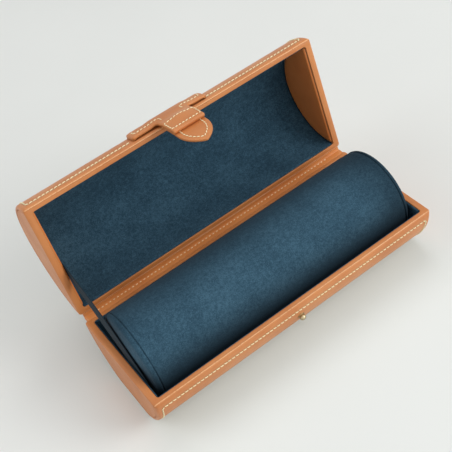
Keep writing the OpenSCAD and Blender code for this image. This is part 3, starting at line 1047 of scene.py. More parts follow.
@dataclass
class LeatherShell:
    """The leather outside of one half: the cover, its rim, its end panels and its stitches."""

    half: Half
    palette: Palette
    corner: float = 2.4
    groove: float = 0.28
    groove_w: float = 0.5
    sole_groove: float = 0.65
    sole_sunk: float = 0.75
    stitching: Stitching = field(default_factory=Stitching)

    @property
    def place(self) -> Place:
        """From the half's frame to the row frame."""
        return half_place(self.half)

    def radius(self, angle: Points, r: float, flat: float) -> Points:
        """Distance from the axis to the wall at an angle below the front rim.

        It is the circle's radius or, on the base, the distance to its flat, whichever is
        less, and the two run into each other by the soft minimum of sharpness 1.3 a
        millimetre.

        Args:
            angle: angles from the front rim, in radians.
            r: the circle's radius.
            flat: depth of the flat.

        Returns:
            The radii.
        """
        if self.half is Half.LID:
            return np.full_like(angle, r)
        sole = flat / np.maximum(np.sin(angle), 0.2)
        k = 1.3
        return r - np.log1p(np.exp(np.clip(k * (r - sole), -60, 60))) / k

    @property
    def drop(self) -> float:
        """Distance of the sewn rows below this half's rim."""
        return SEWN_DROP[self.half]

    def seam_gap(self, x: Points, arc: Points) -> Points:
        """Distance from the sewn row, which is a rounded rectangle on the flat wall."""
        flat = np.stack(np.broadcast_arrays(x, arc - SHELL_ARC / 2), -1)
        return np.abs(box_distance(flat, *sewn_reach(self.half), SEWN_CORNER))

    def sole(self, angle: Points) -> Points:
        """Share of the sole at an angle: 1 where the base stands, 0 on the round wall."""
        if self.half is Half.LID:
            return np.zeros_like(angle)
        return np.clip((np.sin(angle) * SIZE.shell_r - SIZE.base_h + 0.9) / 0.8, 0, 1)

    def wrap(self, local: Points) -> Points:
        """Lay (x, arc from the front rim, height) on the outside of the wall. On the sole the
        height is less by three quarters of a millimetre, so threads lie inside their groove."""
        angle = local[..., 1] / SIZE.shell_r
        wall = self.radius(angle, SIZE.shell_r, SIZE.base_h)
        r = wall + local[..., 2] - self.sole_sunk * self.sole(angle)
        return self.place(below_rim(local[..., 0], r, angle))

    def cover(self) -> Surface:
        """Carry the cover's section round the wall.

        The section is drawn as places along X and depths below the wall: flat, then a quarter
        circle round each end, a short turn down to the end panel's groove, and back at the
        leather's thickness. The rows and columns are closer together along the sewn row, where
        a bell-shaped groove is pressed in.
        """
        bend = np.linspace(0, math.pi / 2, 10)[1:]
        last = SIZE.end_x - 0.1
        start_x = last - self.corner
        near = np.linspace(-1.2, 1.2, 9)
        inner_x = SIZE.end_x - SEWN_MARGIN + near
        flat_x = np.linspace(-start_x + 4.5, start_x - 4.5, 66)
        mid = np.sort(np.concatenate([-inner_x, flat_x, inner_x, [-start_x, start_x]]))
        turn_x, turn_d = last - np.array([0.2, 0.8, 2.0]), self.corner + np.array([0.35, 0.5, 0.5])
        tail_x = np.concatenate([start_x + self.corner * np.sin(bend), turn_x])
        tail_d = np.concatenate([self.corner * (1 - np.cos(bend)), turn_d])
        out_x = np.concatenate([-tail_x[::-1], mid, tail_x])
        out_d = np.concatenate([tail_d[::-1], np.zeros(len(mid)), tail_d])
        start = math.asin(SIZE.rim_t / SIZE.shell_r)
        row = (self.drop + near) / SIZE.shell_r
        rest = np.linspace(row[-1] + 0.02, math.pi - row[-1] - 0.02, 120)
        angle = np.concatenate([[start, (start + row[0]) / 2], row, rest, math.pi - row[::-1]])
        angle = np.concatenate([angle, [math.pi - (start + row[0]) / 2, math.pi - start]])[:, None]
        wall = self.radius(angle, SIZE.shell_r, SIZE.base_h)
        gap = self.seam_gap(out_x, angle * SIZE.shell_r)
        deep = self.groove + self.sole_groove * self.sole(angle)
        groove = deep * np.exp(-((gap / self.groove_w) ** 2))
        outer = wall - out_d - groove
        inner = np.broadcast_to(wall - SIZE.leather_t, outer.shape)[:, ::-1]
        r = np.concatenate([outer, inner], 1)
        x = np.concatenate([out_x, out_x[::-1] * (SIZE.panel_x / SIZE.end_x)])
        return lattice(self.place(below_rim(x, r, angle)), paired(x, angle * SIZE.shell_r, r.shape))

    def rim(self) -> Surface:
        """Carry the rim's section round the opening.

        Across the leather, from 0 at the opening to 1 outside, the section is flat below. Its
        top is a small quarter circle at the opening and a shallow crown. Along the front and
        the back a pressed line follows, and a quarter circle down to the wall. Round the ends
        there is no line, and the outer curve is a wide quarter ellipse. The share of X in the
        direction across the rim mixes the two.
        """
        inner = rounded_loop(SIZE.open_x, SIZE.open_y, 2.0, 10, (40, 110))
        outer = rounded_loop(SIZE.end_x - 0.05, SIZE.shell_r, self.corner + 0.1, 10, (40, 110))
        w = SIZE.shell_r - SIZE.open_y
        t = SIZE.rim_t
        lip_r, edge_r, end_r = 0.5, 0.9, 2.3
        bend = np.linspace(0, math.pi / 2, 7)
        across = [
            lip_r * (1 - np.cos(bend)),
            np.linspace(0.75, w - end_r, 7),
            np.linspace(w - 2.1, w - 0.95, 12),
            w - edge_r * (1 - np.sin(bend)),
        ]
        across = np.unique(np.concatenate(across).round(4))
        lip = -lip_r * quarter(1 - across / lip_r)
        crown = -0.05 * ((across - w / 2) / (w / 2)) ** 2
        line = 0.16 * np.exp(-(((across - (w - 1.5)) / 0.22) ** 2))
        long_fall = (t - 0.1) * quarter((across - w + edge_r) / edge_r)
        end_fall = (t - 0.1) * quarter((across - w + end_r) / end_r)
        way = outer - inner
        end = np.abs(way[:, :1]) / np.linalg.norm(way, axis=1, keepdims=True)
        end = np.clip((end - 0.25) / 0.6, 0, 1)
        z = lip + crown - (line + long_fall) * (1 - end) - end_fall * end
        z = np.concatenate([np.full((len(z), 1), -t), z, np.full((len(z), 1), -t)], 1)
        share = np.concatenate([[0.0], across / w, [1.0]])
        plan = inner[:, None] * (1 - share)[None, :, None] + outer[:, None] * share[None, :, None]
        points = np.stack([plan[..., 0], plan[..., 1], z], -1)
        return ring(self.place(points), plan)

    def end_panel(self, side: Side) -> Surface:
        """Half-moon of leather in an end, which dips in a groove along the cover.

        Along the rim its height rises within half a millimetre, so it runs up under the rim
        without a groove. Elsewhere it takes 1.6.
        """
        inset = self.corner + 0.3
        r, flat, top = SIZE.shell_r - inset, SIZE.base_h - inset, 0.45

        def arc(p: Points) -> Points:
            """Distance to the curved side: its circle and, in the base, its flat."""
            d = np.linalg.norm(p, axis=-1) - r
            return np.maximum(d, -p[..., 1] - flat) if self.half is Half.BASE else d

        def outline(p: Points) -> Points:
            """Distance to the half-moon: the deeper of its curved side and its rim line."""
            return np.maximum(arc(p), p[..., 1] + top)

        def depth(p: Points) -> Points:
            """Share of the full height, by the nearer of the two sides."""
            return np.minimum(-arc(p) / 1.6, -(p[..., 1] + top) / 0.5)

        def wrap(local: Points) -> Points:
            """Stand the half-moon in the end."""
            x = side.value * (SIZE.end_x - 1.35 + local[..., 2])
            return self.place(np.stack([x, local[..., 0], local[..., 1]], -1))

        return patch(outline, (-r - 1, r + 1, -r - 1, 0), 0.8, 1.2, 1.6, wrap, 0.3, depth)

    def stitches(self) -> Surface:
        """Threads round the wall, along both rims and round both ends. They stop where the
        clasp's bar covers the lid's row."""
        row = rounded_loop(*sewn_reach(self.half), SEWN_CORNER, 6, (60, 60))
        row = row + [0.0, SHELL_ARC / 2]
        if self.half is Half.BASE:
            return self.stitching.sewn(row, self.wrap, closed=True)
        near_bar = np.abs(row[:, 0] - Clasp.bar_x) < Clasp.bar_half - 1.5
        under_bar = (row[:, 1] < self.drop + 0.1) & near_bar
        first = int(np.nonzero(under_bar)[0][-1]) + 1
        return self.stitching.sewn(np.roll(row, -first, 0)[: int((~under_bar).sum())], self.wrap)

    def build(self) -> None:
        """Add the half's leather pieces."""
        b, p, slot = self.half.value, self.palette, "tan_leather"
        add_piece(f"{b}_cover_leather", self.cover(), p.cover[self.half], b, slot, (f"{b}_cover",))
        add_piece(f"{b}_rim_leather", self.rim(), p.rim, b, slot, (f"{b}_rim",))
        for side in Side:
            node = f"{b}_end_leather_{side.word}"
            add_piece(f"{b}_panel_{side.word}", self.end_panel(side), p.plain, b, slot, (node,))
        add_piece(f"{b}_edge_stitches", self.stitches(), p.thread, b, slot)


@dataclass
class SuedeLining:
    """The suede inside of one half, padded in the lid, with its end panels."""

    half: Half
    palette: Palette
    puff: float = 0.7

    @property
    def top(self) -> float:
        """Distance of the lining's upper edge below the rim plane."""
        return SIZE.rim_t + 0.05 if self.half is Half.LID else SIZE.rim_t / 2

    def wall(self) -> Surface:
        """Carry the lining's section round the hollow.

        The inner face stands in by puff, less a high power that brings it back to the board
        along the rims and the ends. Slow waves of a tenth of a millimetre keep it from being a
        drawn cylinder. In the base both are weaker.
        """
        lid = self.half is Half.LID
        back_r = 45.6 if lid else 44.5
        stand, slack = (1.0, 1.0) if lid else (0.6, 0.2)
        face_r = SIZE.lining_r
        x = np.linspace(-SIZE.open_x, SIZE.open_x, 120)
        x = np.sign(x) * SIZE.open_x * (np.abs(x) / SIZE.open_x) ** 0.75
        start = math.asin(self.top / face_r)
        angle = np.linspace(start, math.pi - start, 110)[:, None]
        lift = np.clip(1 - (np.abs(x) / SIZE.open_x) ** 60, 0, 1)
        lift = lift * np.clip(1 - np.abs(angle / (math.pi / 2) - 1) ** 50, 0, 1)
        wave = 0.12 * np.sin(x / 23.0 + 2 * angle) * np.sin(angle * 5.0 + x / 41.0)
        inner = face_r + 0.15 + self.puff * (1 - lift) * stand + wave * lift * slack
        shell = LeatherShell(self.half, self.palette)
        face = shell.radius(angle, face_r, SIZE.hollow - SIZE.lining_t) + (inner - face_r)
        rear = shell.radius(angle, back_r - 0.02, SIZE.hollow - 0.02) + np.zeros_like(x)
        r = np.concatenate([np.minimum(face, rear - 0.15), rear[:, ::-1]], 1)
        x = np.concatenate([x, x[::-1]])
        return lattice(half_place(self.half)(below_rim(x, r, angle)), paired(x, angle * face_r, r.shape))

    def end(self, side: Side) -> Surface:
        """Half-moon panel inside an end, with a rounded edge against the wall's lining."""
        r = SIZE.lining_r - 0.05
        depth = SIZE.hollow - SIZE.lining_t - 0.05

        def outline(p: Points) -> Points:
            """Distance to the half-moon: the deepest of its circle, its top line and its flat."""
            d = np.maximum(np.linalg.norm(p, axis=-1) - r, p[..., 1] + self.top)
            return d if self.half is Half.LID else np.maximum(d, -p[..., 1] - depth)

        def wrap(local: Points) -> Points:
            """Stand the panel against the end board, facing inwards."""
            x = side.value * (SIZE.open_x - 0.3 - local[..., 2])
            return half_place(self.half)(np.stack([x, local[..., 0], local[..., 1]], -1))

        return patch(outline, (-r - 1, r + 1, -r - 1, 0), 1.1, 0.9, 1.6, wrap, 0.3)

    def build(self) -> None:
        """Add the half's lining pieces."""
        b, p = self.half.value, self.palette
        wall = add_piece(f"{b}_suede", self.wall(), p.suede, b, "navy_suede", (f"{b}_lining",))
        if self.half is Half.LID:
            name, node, finish, slot = "lid_facing", "lid_end_facing", p.facing, "lid_facing_leather"
        else:
            name, node, finish, slot = "base_suede_end", "base_end_lining", p.suede, "navy_suede"
        for side in Side:
            add_piece(f"{name}_{side.word}", self.end(side), finish, b, slot, (f"{node}_{side.word}",))


# Section of the hinge's inner edge, as (y, z) over the base's rim: its top, and its underside.
STRIP_TOP = (
    (47.5, -0.1), (47.8, 0.02), (48.5, 0.08), (49.3, 0.14), (50.3, 0.2), (51.2, 0.26), (51.8, 0.28),
    (52.15, 0.2), (52.3, -0.05),
)
STRIP_LOW = (
    (47.6, -0.25), (47.9, -0.4), (48.4, -0.7), (49.2, -0.9), (50.3, -0.95), (51.0, -0.9), (51.6, -0.8),
    (52.0, -0.6), (52.2, -0.35),
)


@dataclass
class Hinge:
    """The sewn leather hinge: one leather down both backs, with a fold between the rims."""

    palette: Palette
    end_x: float = 122.0
    leaf: float = 13.0
    thick: float = 1.3
    sag: float = 1.5
    drawn_in: float = 0.9
    inner_span: tuple[float, float] = (-112.0, 108.0)
    inner_y: float = 51.25
    inner_top: float = 0.26
    stitching: Stitching = field(default_factory=lambda: Stitching(rise=0.3))

    def section(self) -> Points:
        """Outline of the leather across the hinge, as (y, z) with the lid open.

        Down the base's back it follows the wall outside and inside. Between the rims the
        inner side sags from one rim's edge to the other, and the outer side is a fold whose
        distance from the hinge line eases from the base's wall to the lid's, drawn in between.

        Returns:
            Inner and outer points, the same count each, the outer ones in reverse.
        """
        r0, r1 = SIZE.shell_r + 0.02, SIZE.shell_r + self.thick
        low = np.linspace(self.leaf / SIZE.shell_r, math.radians(0.4), 14)
        base_in, base_out = (
            np.stack([r * np.cos(a), -r * np.sin(a)], -1) for r, a in ((r0, low), (r1, low[:12]))
        )
        lid_in, lid_out = (
            self.opened(np.stack([r * np.cos(a), SIZE.rim_gap + r * np.sin(a)], -1)[::-1])
            for r, a in ((r0, low), (r1, low[:12]))
        )
        t = np.linspace(0, 1, 12)[1:-1]
        a, b = base_in[-1], lid_in[0]
        chord = a * (1 - t[:, None]) + b * t[:, None]
        across = np.array([b[1] - a[1], a[0] - b[0]]) / np.linalg.norm(b - a)
        gusset = chord + across * (self.sag * np.sin(np.pi * t))[:, None]
        inner = np.vstack([base_in, gusset, lid_in])
        start, end = base_out[-1], lid_out[0]
        c = np.array([SIZE.axis_y, SIZE.axis_z])
        r_s, r_e = (np.linalg.norm(point - c) for point in (start, end))
        a_s, a_e = (math.atan2(*(point - c)[::-1]) for point in (start, end))
        t = np.linspace(0, 1, 30)[1:-1]
        radius = r_s * (1 - t) + r_e * t - self.drawn_in * np.sin(np.pi * t)
        angle = a_s * (1 - t) + a_e * t
        fold = c + np.stack([radius * np.cos(angle), radius * np.sin(angle)], -1)
        outer = np.vstack([base_out, fold, lid_out])
        run = np.linspace(0, 1, 76)
        inner, outer = (taken(line, run * lengths(line)[-1]) for line in (inner, outer))
        return np.vstack([inner, outer[::-1]])

    def opened(self, yz: Points) -> Points:
        """Swing (y, z) of the closed lid open about the hinge line."""
        flat = np.concatenate([np.zeros((len(yz), 1)), yz], -1)
        return turned(flat, -SIZE.open_angle, SIZE.axis_y, SIZE.axis_z)[:, 1:]

    def skin(self) -> Surface:
        """Carry the section along X."""
        section = self.section()
        return extruded(section, np.linspace(-self.end_x, self.end_x, 130), lengths(section))

    def leaf_row(self, half: Half) -> Surface:
        """Threads along the edge of a leaf, on a half's back."""
        shell = LeatherShell(half, self.palette)
        s = SHELL_ARC - self.leaf + 2.2
        row = np.array([[-self.end_x + 3, s], [self.end_x - 3, s]])
        lift = np.array([0.0, 0.0, self.thick])
        return self.stitching.sewn(row, lambda p: shell.wrap(p + lift))

    def strip(self) -> Surface:
        """Inner edge of the hinge, which lies flat over the base's rim as far as the valley.

        Its section is a wedge: a skived edge on the rim, a top that climbs by a third of a
        millimetre, and a rounded edge over the valley.
        """
        section = np.array(STRIP_TOP + STRIP_LOW[::-1])
        reach = self.end_x + 0.4
        return extruded(section, np.linspace(-reach, reach, 90), section[:, 0])

    def inner_row(self) -> Surface:
        """Threads on the strip, just before the valley."""
        row = np.array([[x, self.inner_y] for x in self.inner_span])
        fine = Stitching(pitch=3.4, length=1.9, width=0.55, rise=0.3, slant=4.0)
        return fine.sewn(row, lambda p: in_row(p + [0.0, 0.0, self.inner_top]))

    def build(self) -> None:
        """Add the hinge's leather, attached to no body, and its rows of thread."""
        p, slot = self.palette, "tan_leather"
        leather = add_piece("hinge_leather", self.skin(), p.hinge, None, slot, ("hinge_roll", "hinge_leaf"))
        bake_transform(leather)
        add_piece("hinge_strip", self.strip(), p.hinge, "base", slot)
        for half in Half:
            add_piece(f"hinge_stitches_{half.value}", self.leaf_row(half), p.thread, half.value, slot)
        add_piece("hinge_stitches_inner", self.inner_row(), p.thread, "base", slot)


@dataclass
class WatchRoll:
    """The suede roll that watches are buckled round, with a sewn groove and a welt at each end."""

    palette: Palette
    radius: float = 35.7
    half_len: float = 114.5
    middle_y: float = -2.0
    cap: float = 3.9

    def centre_z(self) -> float:
        """Height of the roll's axis over the rim plane: it lies just above the lining."""
        return 0.3 + self.radius - (SIZE.hollow - SIZE.lining_t)

    def profile(self) -> tuple[Points, Points]:
        """Half-outline of the roll as x and radius, from the left disc's middle to the right's.

        The body is flat up to a groove, a bell half a millimetre wide and one deep. Beyond it
        the end's suede starts a little lower, curves in by a quarter ellipse and goes on as a
        disc, which swells a little towards its middle.

        Returns:
            Places along X, and the radii there.
        """
        seam = self.half_len - self.cap
        body = np.concatenate([np.linspace(0, seam - 6, 60), np.linspace(seam - 5.5, seam + 0.55, 34)])
        dip = 1.1 * np.exp(-(((body - seam) / 0.5) ** 2))
        dip = dip + 0.15 * np.exp(-(((body - seam + 1.4) / 0.9) ** 2))
        bend = np.linspace(0, math.pi / 2, 14)[1:]
        wide = self.cap - 0.55
        x_cap = seam + 0.55 + wide * np.sin(bend)
        r_cap = self.radius - 0.1 - (self.cap + 0.6) * (1 - np.cos(bend))
        edge = r_cap[-1]
        inward = np.linspace(1, 0, 20)[1:] * edge
        x_disc = self.half_len + 0.6 * (1 - (inward / edge) ** 2)
        right_x = np.concatenate([body[1:], x_cap, x_disc])
        right_r = np.concatenate([(self.radius - dip)[1:], r_cap, inward])
        x = np.concatenate([-right_x[::-1], [0.0], right_x])
        return x, np.concatenate([right_r[::-1], [self.radius], right_r])

    def skin(self) -> Surface:
        """Turn the half-outline about the roll's axis.

        The radius loses up to a third of a millimetre in slow waves round and along the roll,
        so the padding under the suede shows, and a lengthwise seam is a bell-shaped dip on
        the side away from the opening.
        """
        x, r = self.profile()
        a = np.linspace(0, 2 * math.pi, 145)[:-1][:, None]
        soft = 0.08 + 0.12 * np.sin(3 * a + x / 31.0) + 0.10 * np.sin(5 * a - x / 17.0 + 1.3)
        body = np.clip((self.half_len - self.cap - 1.5 - np.abs(x)) / 12.0, 0, 1)
        seam = 0.7 * np.exp(-(((a - 1.5 * math.pi) * self.radius / 0.7) ** 2)) * (body > 0)
        rr = np.maximum(r - soft * body - seam, 0.0)
        y, z = self.middle_y + rr * np.cos(a), self.centre_z() + rr * np.sin(a)
        points = np.stack([np.broadcast_to(x, rr.shape), y, z], -1)
        at = np.arange(rr.size).reshape(rr.shape)
        at[:, 0], at[:, -1] = at[0, 0], at[0, -1]
        flat = paired(x, a * self.radius, rr.shape)
        return Surface(in_row(points.reshape(-1, 3)), cells(np.vstack([at, at[:1]])), flat.reshape(-1, 2))

    def build(self) -> None:
        """Add the roll."""
        nodes = ("roll_cover", "roll_core", "roll_end_left", "roll_end_right")
        roll = add_piece("watch_roll", self.skin(), self.palette.roll, "roll", "navy_suede", nodes)


@dataclass
class RibbonStay:
    """The ribbon that stops the lid, taut from the lid's left end to the base's."""

    palette: Palette
    width: float = 10.0
    thick: float = 0.7
    twist: float = 9.0
    base_end: tuple[float, float] = (-34.0, -11.5)
    lid_depth: float = 14.5

    def ends(self) -> tuple[Points, Points]:
        """Where the ribbon is sewn in, as (y, z) in the case's frame: in the base, in the lid."""
        lid = np.array([[0.0, 0.0, SIZE.rim_gap + self.lid_depth]])
        lid = turned(lid, -SIZE.open_angle, SIZE.axis_y, SIZE.axis_z)
        return np.array(self.base_end), lid[0, 1:]

    def skin(self) -> Surface:
        """Carry a thin section with thinner edges along the straight line between the ends.

        In its free span the section leans by up to twist, as nearly a sine that is nought
        where the ribbon enters either half, and its lower edge stays close to where it was.
        """
        a, b = self.ends()
        t = np.linspace(0, 1, 110)[:, None]
        way = (b - a) / np.linalg.norm(b - a)
        side = np.array([-way[1], way[0]])
        w = np.linspace(-0.5, 0.5, 13)
        out = np.concatenate([w, w[::-1]])
        face = np.concatenate([np.ones(13), -np.ones(13)]) * (self.thick / 2)
        face = face * np.where(np.abs(out) > 0.45, 0.7, 1.0)
        free = np.clip((t - 0.06) / 0.86, 0, 1)
        lean = np.radians(self.twist) * np.sin(np.pi * free) ** 0.8
        across = (out * self.width * np.cos(lean) - face * np.sin(lean))[..., None]
        yz = (a + (b - a) * t)[:, None] + side * across
        swung = (out + 0.42) * self.width * np.sin(lean) + face * np.cos(lean)
        x = -SIZE.lining_x + self.thick / 2 + 0.05 + swung
        points = np.concatenate([x[..., None], yz], -1)
        return lattice(in_row(points), paired(t * np.linalg.norm(b - a), out * self.width, x.shape))

    def build(self) -> None:
        """Add the ribbon, attached to no body."""
        finish = self.palette.ribbon
        ribbon = add_piece("ribbon", self.skin(), finish, None, "navy_ribbon", ("ribbon_stay",))
        a, b = self.ends()
        start, end = (bend_end(*(a + (b - a) * share)) for share in (0.12, 0.88))
        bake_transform(ribbon)
        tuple(start)
        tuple(end)


@dataclass
class Clasp:
    """The strap clasp: a T of leather sewn on the lid, with a pointed tongue under its tab.

    Places are given as X and as v, the distance above the lid's rim round the closed case.
    """

    palette: Palette
    bar_x: float = -1.0
    bar_half: float = 32.0
    bar_low: float = 3.2
    bar_high: float = 18.0
    bar_top: float = 3.5
    tab_x: float = 1.0
    tab_half: float = 13.3
    tab_len: float = 21.4
    tab_t: float = 1.65
    fold: float = 0.1
    fold_run: float = 4.4
    row_half: float = 12.1
    row_v: tuple[float, float] = (-7.9, -19.3)
    tongue_in: float = 1.0
    tongue_t: float = 1.35
    tongue_half: float = 12.6
    tongue_len: float = 45.0
    stud_v: float = -16.84
    arch: float = 19.0
    eye_r: float = 2.8
    thick: float = 1.5
    turn_r: float = 0.9
    middle_r: float = SIZE.shell_r + 2.4
    cross_rows: Stitching = field(default_factory=lambda: Stitching(pitch=2.9, length=2.5, width=0.7))

    @property
    def arch_r(self) -> float:
        """Radius of the arch's sides, which run on from the strip's and meet in its point."""
        return (self.arch**2 + self.tongue_half**2) / (2 * self.tongue_half)

    def upper_outline(self, p: Points) -> Points:
        """Distance to the T: its bar and its tab, run together with round inner corners."""
        middle = [self.bar_x, (self.bar_low + self.bar_high) / 2]
        bar = box_distance(p - middle, self.bar_half, (self.bar_high - self.bar_low) / 2, 2.0)
        low, top = -self.tab_len - self.fold_run, self.bar_high - 2.0
        tab = box_distance(p - [self.tab_x, (top + low) / 2], self.tab_half, (top - low) / 2, 1.0)
        return blended(bar, tab, 4.0)

    def tongue_outline(self, p: Points) -> Points:
        """Distance to the tongue: a strip that ends below in a pointed arch, less the eye for
        the stud and the slit above it."""
        spring = -self.tongue_len + self.arch
        side = self.arch_r - self.tongue_half
        left, right = (
            np.linalg.norm(p - [self.tab_x + off, spring], axis=-1) - self.arch_r for off in (side, -side)
        )
        strip = np.maximum(np.abs(p[..., 0] - self.tab_x) - self.tongue_half, p[..., 1] + 2.0)
        whole = np.maximum(strip, np.where(p[..., 1] < spring, np.maximum(left, right), -1.0))
        eye = np.linalg.norm(p - [0.0, self.stud_v], axis=-1) - self.eye_r
        slit = box_distance(p - [0.0, self.stud_v + 3.0], 0.6, 3.0, 0.5)
        return np.maximum(whole, -np.minimum(eye, slit))

    def seat(self, u: Points, v: Points) -> tuple[Points, Points]:
        """Radius under the T and the share of its full thickness there.

        The bar is padded. It lies on the lid along its upper edge and at both ends, and its
        lower edge stands off by a millimetre and a half. In the middle it passes over the tongue. The
        tab climbs to its pocket, which is a little higher along its middle. Each change is
        a smooth step or a bell.

        Args:
            u: places along X.
            v: places above the lid's rim, round the wall.

        Returns:
            The radii and the shares.
        """
        across = np.abs(u - self.tab_x)
        middle = 1 - eased((across - self.tab_half) / 6.0)
        inboard = 1 - 0.7 * eased((np.abs(u - self.bar_x) - self.bar_half + 4.0) / 4.0)
        low = 1 - eased((v - self.bar_low - 2.5) / 6.0)
        over = middle * (1 - eased((v - self.bar_low) / (self.bar_high - self.bar_low)))
        under = 0.1 + 1.4 * low * inboard
        under = under + (self.tongue_in + self.tongue_t + 0.1 - under) * over
        top = self.bar_top + 0.5 * middle - 0.6 * (1 - inboard)
        climb = eased((self.bar_low - v) / (self.bar_low - self.row_v[0]))
        reach = eased((self.row_v[0] - v) / (self.tab_len + self.row_v[0]))
        crown = 1.7 * np.exp(-((across / 8.0) ** 2) - ((v - self.row_v[0] + 1.0) / 6.0) ** 2)
        top = top + 1.2 * climb + 0.55 * reach + crown
        under = under + (top - self.tab_t - under) * climb
        return SIZE.shell_r + under, (top - under) / self.thick

    def wrap_upper(self, local: Points) -> Points:
        """Lay (x, height over the rim, height over the seat) round the closed case.

        Past the tab's end the leather turns under: it goes half round, by the run past the end
        over the turn's radius, and then back under itself.
        """
        u, v, h = local[..., 0], local[..., 1], local[..., 2]
        seat, share = self.seat(u, np.maximum(v, -self.tab_len))
        h = h * share
        past = np.maximum(-self.tab_len - v, 0)
        turn_run = math.pi * self.turn_r
        beta = np.minimum(past / turn_run, 1.0) * math.pi
        r = seat - self.fold + (self.fold + h) * np.cos(beta)
        v_at = np.maximum(v, -self.tab_len) - (self.fold + h) * np.sin(beta) + np.maximum(past - turn_run, 0)
        return self.laid(u, r, v_at / self.middle_r)

    def laid(self, u: Points, r: Points, angle: Points) -> Points:
        """Place points by X, radius, and angle above the closed lid's rim."""
        return in_strap(np.stack([u, -r * np.cos(angle), SIZE.rim_gap + r * np.sin(angle)], -1))

    def wrap_tongue(self, local: Points) -> Points:
        """Lay (x, distance below the rim as a negative, height) round the case on the strap."""
        seat = SIZE.shell_r + self.tongue_in
        return self.laid(local[..., 0], seat + local[..., 2], local[..., 1] / seat)

    def upper(self) -> Surface:
        """Cut the T and lay it."""
        return patch(self.upper_outline, (-35, 35, -30, 20), 0.5, self.thick, 1.1, self.wrap_upper)

    def tongue(self) -> Surface:
        """Cut the tongue and lay it."""
        return patch(self.tongue_outline, (-14, 16, -48, 0), 0.4, self.tongue_t, 0.5, self.wrap_tongue)

    def bar_rows(self, side: Side) -> Surface:
        """Threads that sew one end of the bar down: along its middle, with a turn at each end."""
        x0, x1, y = self.tab_half - 4.4, self.bar_half - 3.9, self.bar_low + 4.9
        hook = [[0.2, -6.0], [0.0, -2.5], [0.6, -0.8], [1.8, 0.0]]
        turn = [[-1.0, -0.4], [0.0, 0.4], [0.6, 4.6]]
        path = np.vstack([np.array(hook) + [x0, y], np.array(turn) + [x1, y - 0.4]])
        path[:, 0] = path[:, 0] * side.value + np.where(path[:, 0] < self.tab_half, self.tab_x, self.bar_x)
        return Stitching(pitch=3.0, length=2.6, width=0.7).sewn(path, self.on_upper)

    def on_upper(self, p: Points) -> Points:
        """Lay threads on the top of the T's leather, whose thickness changes."""
        share = self.seat(p[..., 0], p[..., 1])[1]
        return self.wrap_upper(np.stack([p[..., 0], p[..., 1], self.thick + p[..., 2] / share], -1))

    def tab_rows(self) -> Surface:
        """Threads round the tab's pocket: two rows across, joined at both sides."""
        top, low = self.row_v
        row = rounded_loop(self.row_half, (top - low) / 2, 1.2, 4, (4, 8)) + [self.tab_x, (top + low) / 2]
        return self.cross_rows.sewn(row, self.on_upper, closed=True)

    def tongue_rows(self) -> Surface:
        """Threads inside the tongue's edge: its own outline drawn in by 3.9 millimetres."""
        r, w, lead = self.arch_r, self.tongue_half, 3.9
        spring = -self.tongue_len + self.arch
        stop = math.acos((r - w) / (r - lead))
        a = math.pi + np.linspace(0, 1, 40) * stop
        left = np.stack([r - w + (r - lead) * np.cos(a), spring + (r - lead) * np.sin(a)], -1)
        head = np.array([[-w + lead, -self.tab_len + 1.0], [-w + lead, spring - 0.5]])
        line = np.vstack([head, left[2:]])
        path = np.vstack([line, (line * [-1, 1])[::-1]]) + [self.tab_x, 0.0]
        lift = np.array([0.0, 0.0, self.tongue_t])
        return self.cross_rows.sewn(path, lambda p: self.wrap_tongue(p + lift))

    def build(self) -> None:
        """Add the clasp's pieces: all but the bar's threads are attached to no body."""
        p, slot = self.palette, "tan_leather"
        start, end = (tuple(in_lid(point) * MM) for point in STRAP_SPAN)
        bent = (
            add_piece("clasp_leather", self.upper(), p.plain, None, slot, ("clasp_bar", "clasp_tab")),
            add_piece("clasp_tongue_leather", self.tongue(), p.plain, None, slot, ("clasp_tongue",)),
            add_piece("clasp_tab_stitches", self.tab_rows(), p.thread, None, slot),
            add_piece("clasp_tongue_stitches", self.tongue_rows(), p.thread, None, slot),
        )
        for piece in bent:
            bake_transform(piece)
            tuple(start)
            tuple(end)
        for side in Side:
            add_piece(f"clasp_bar_stitches_{side.word}", self.bar_rows(side), p.thread, "lid", slot)


@dataclass
class Inside:
    """The frame's own nodes that keep their shape: boards, ballast, stud and screw."""

    palette: Palette

    def build(self) -> None:
        """Give each node its finish."""
        p = self.palette
        finish = {"stud_knob": p.brass, "stud_screw": p.steel, "ballast_plate": p.steel}
        for half in Half:
            names = (f"{half.value}_{name}" for name in ("shell", "end_board_left", "end_board_right"))
            finish.update(dict.fromkeys(names, p.board))
        for name, material in finish.items():
            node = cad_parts[name]
            node.data.materials.clear()
            node.data.materials.append(material)
            LOG.info("%s: %s", name, material.name)


# Studio --------------------------------------------------------------------------------------


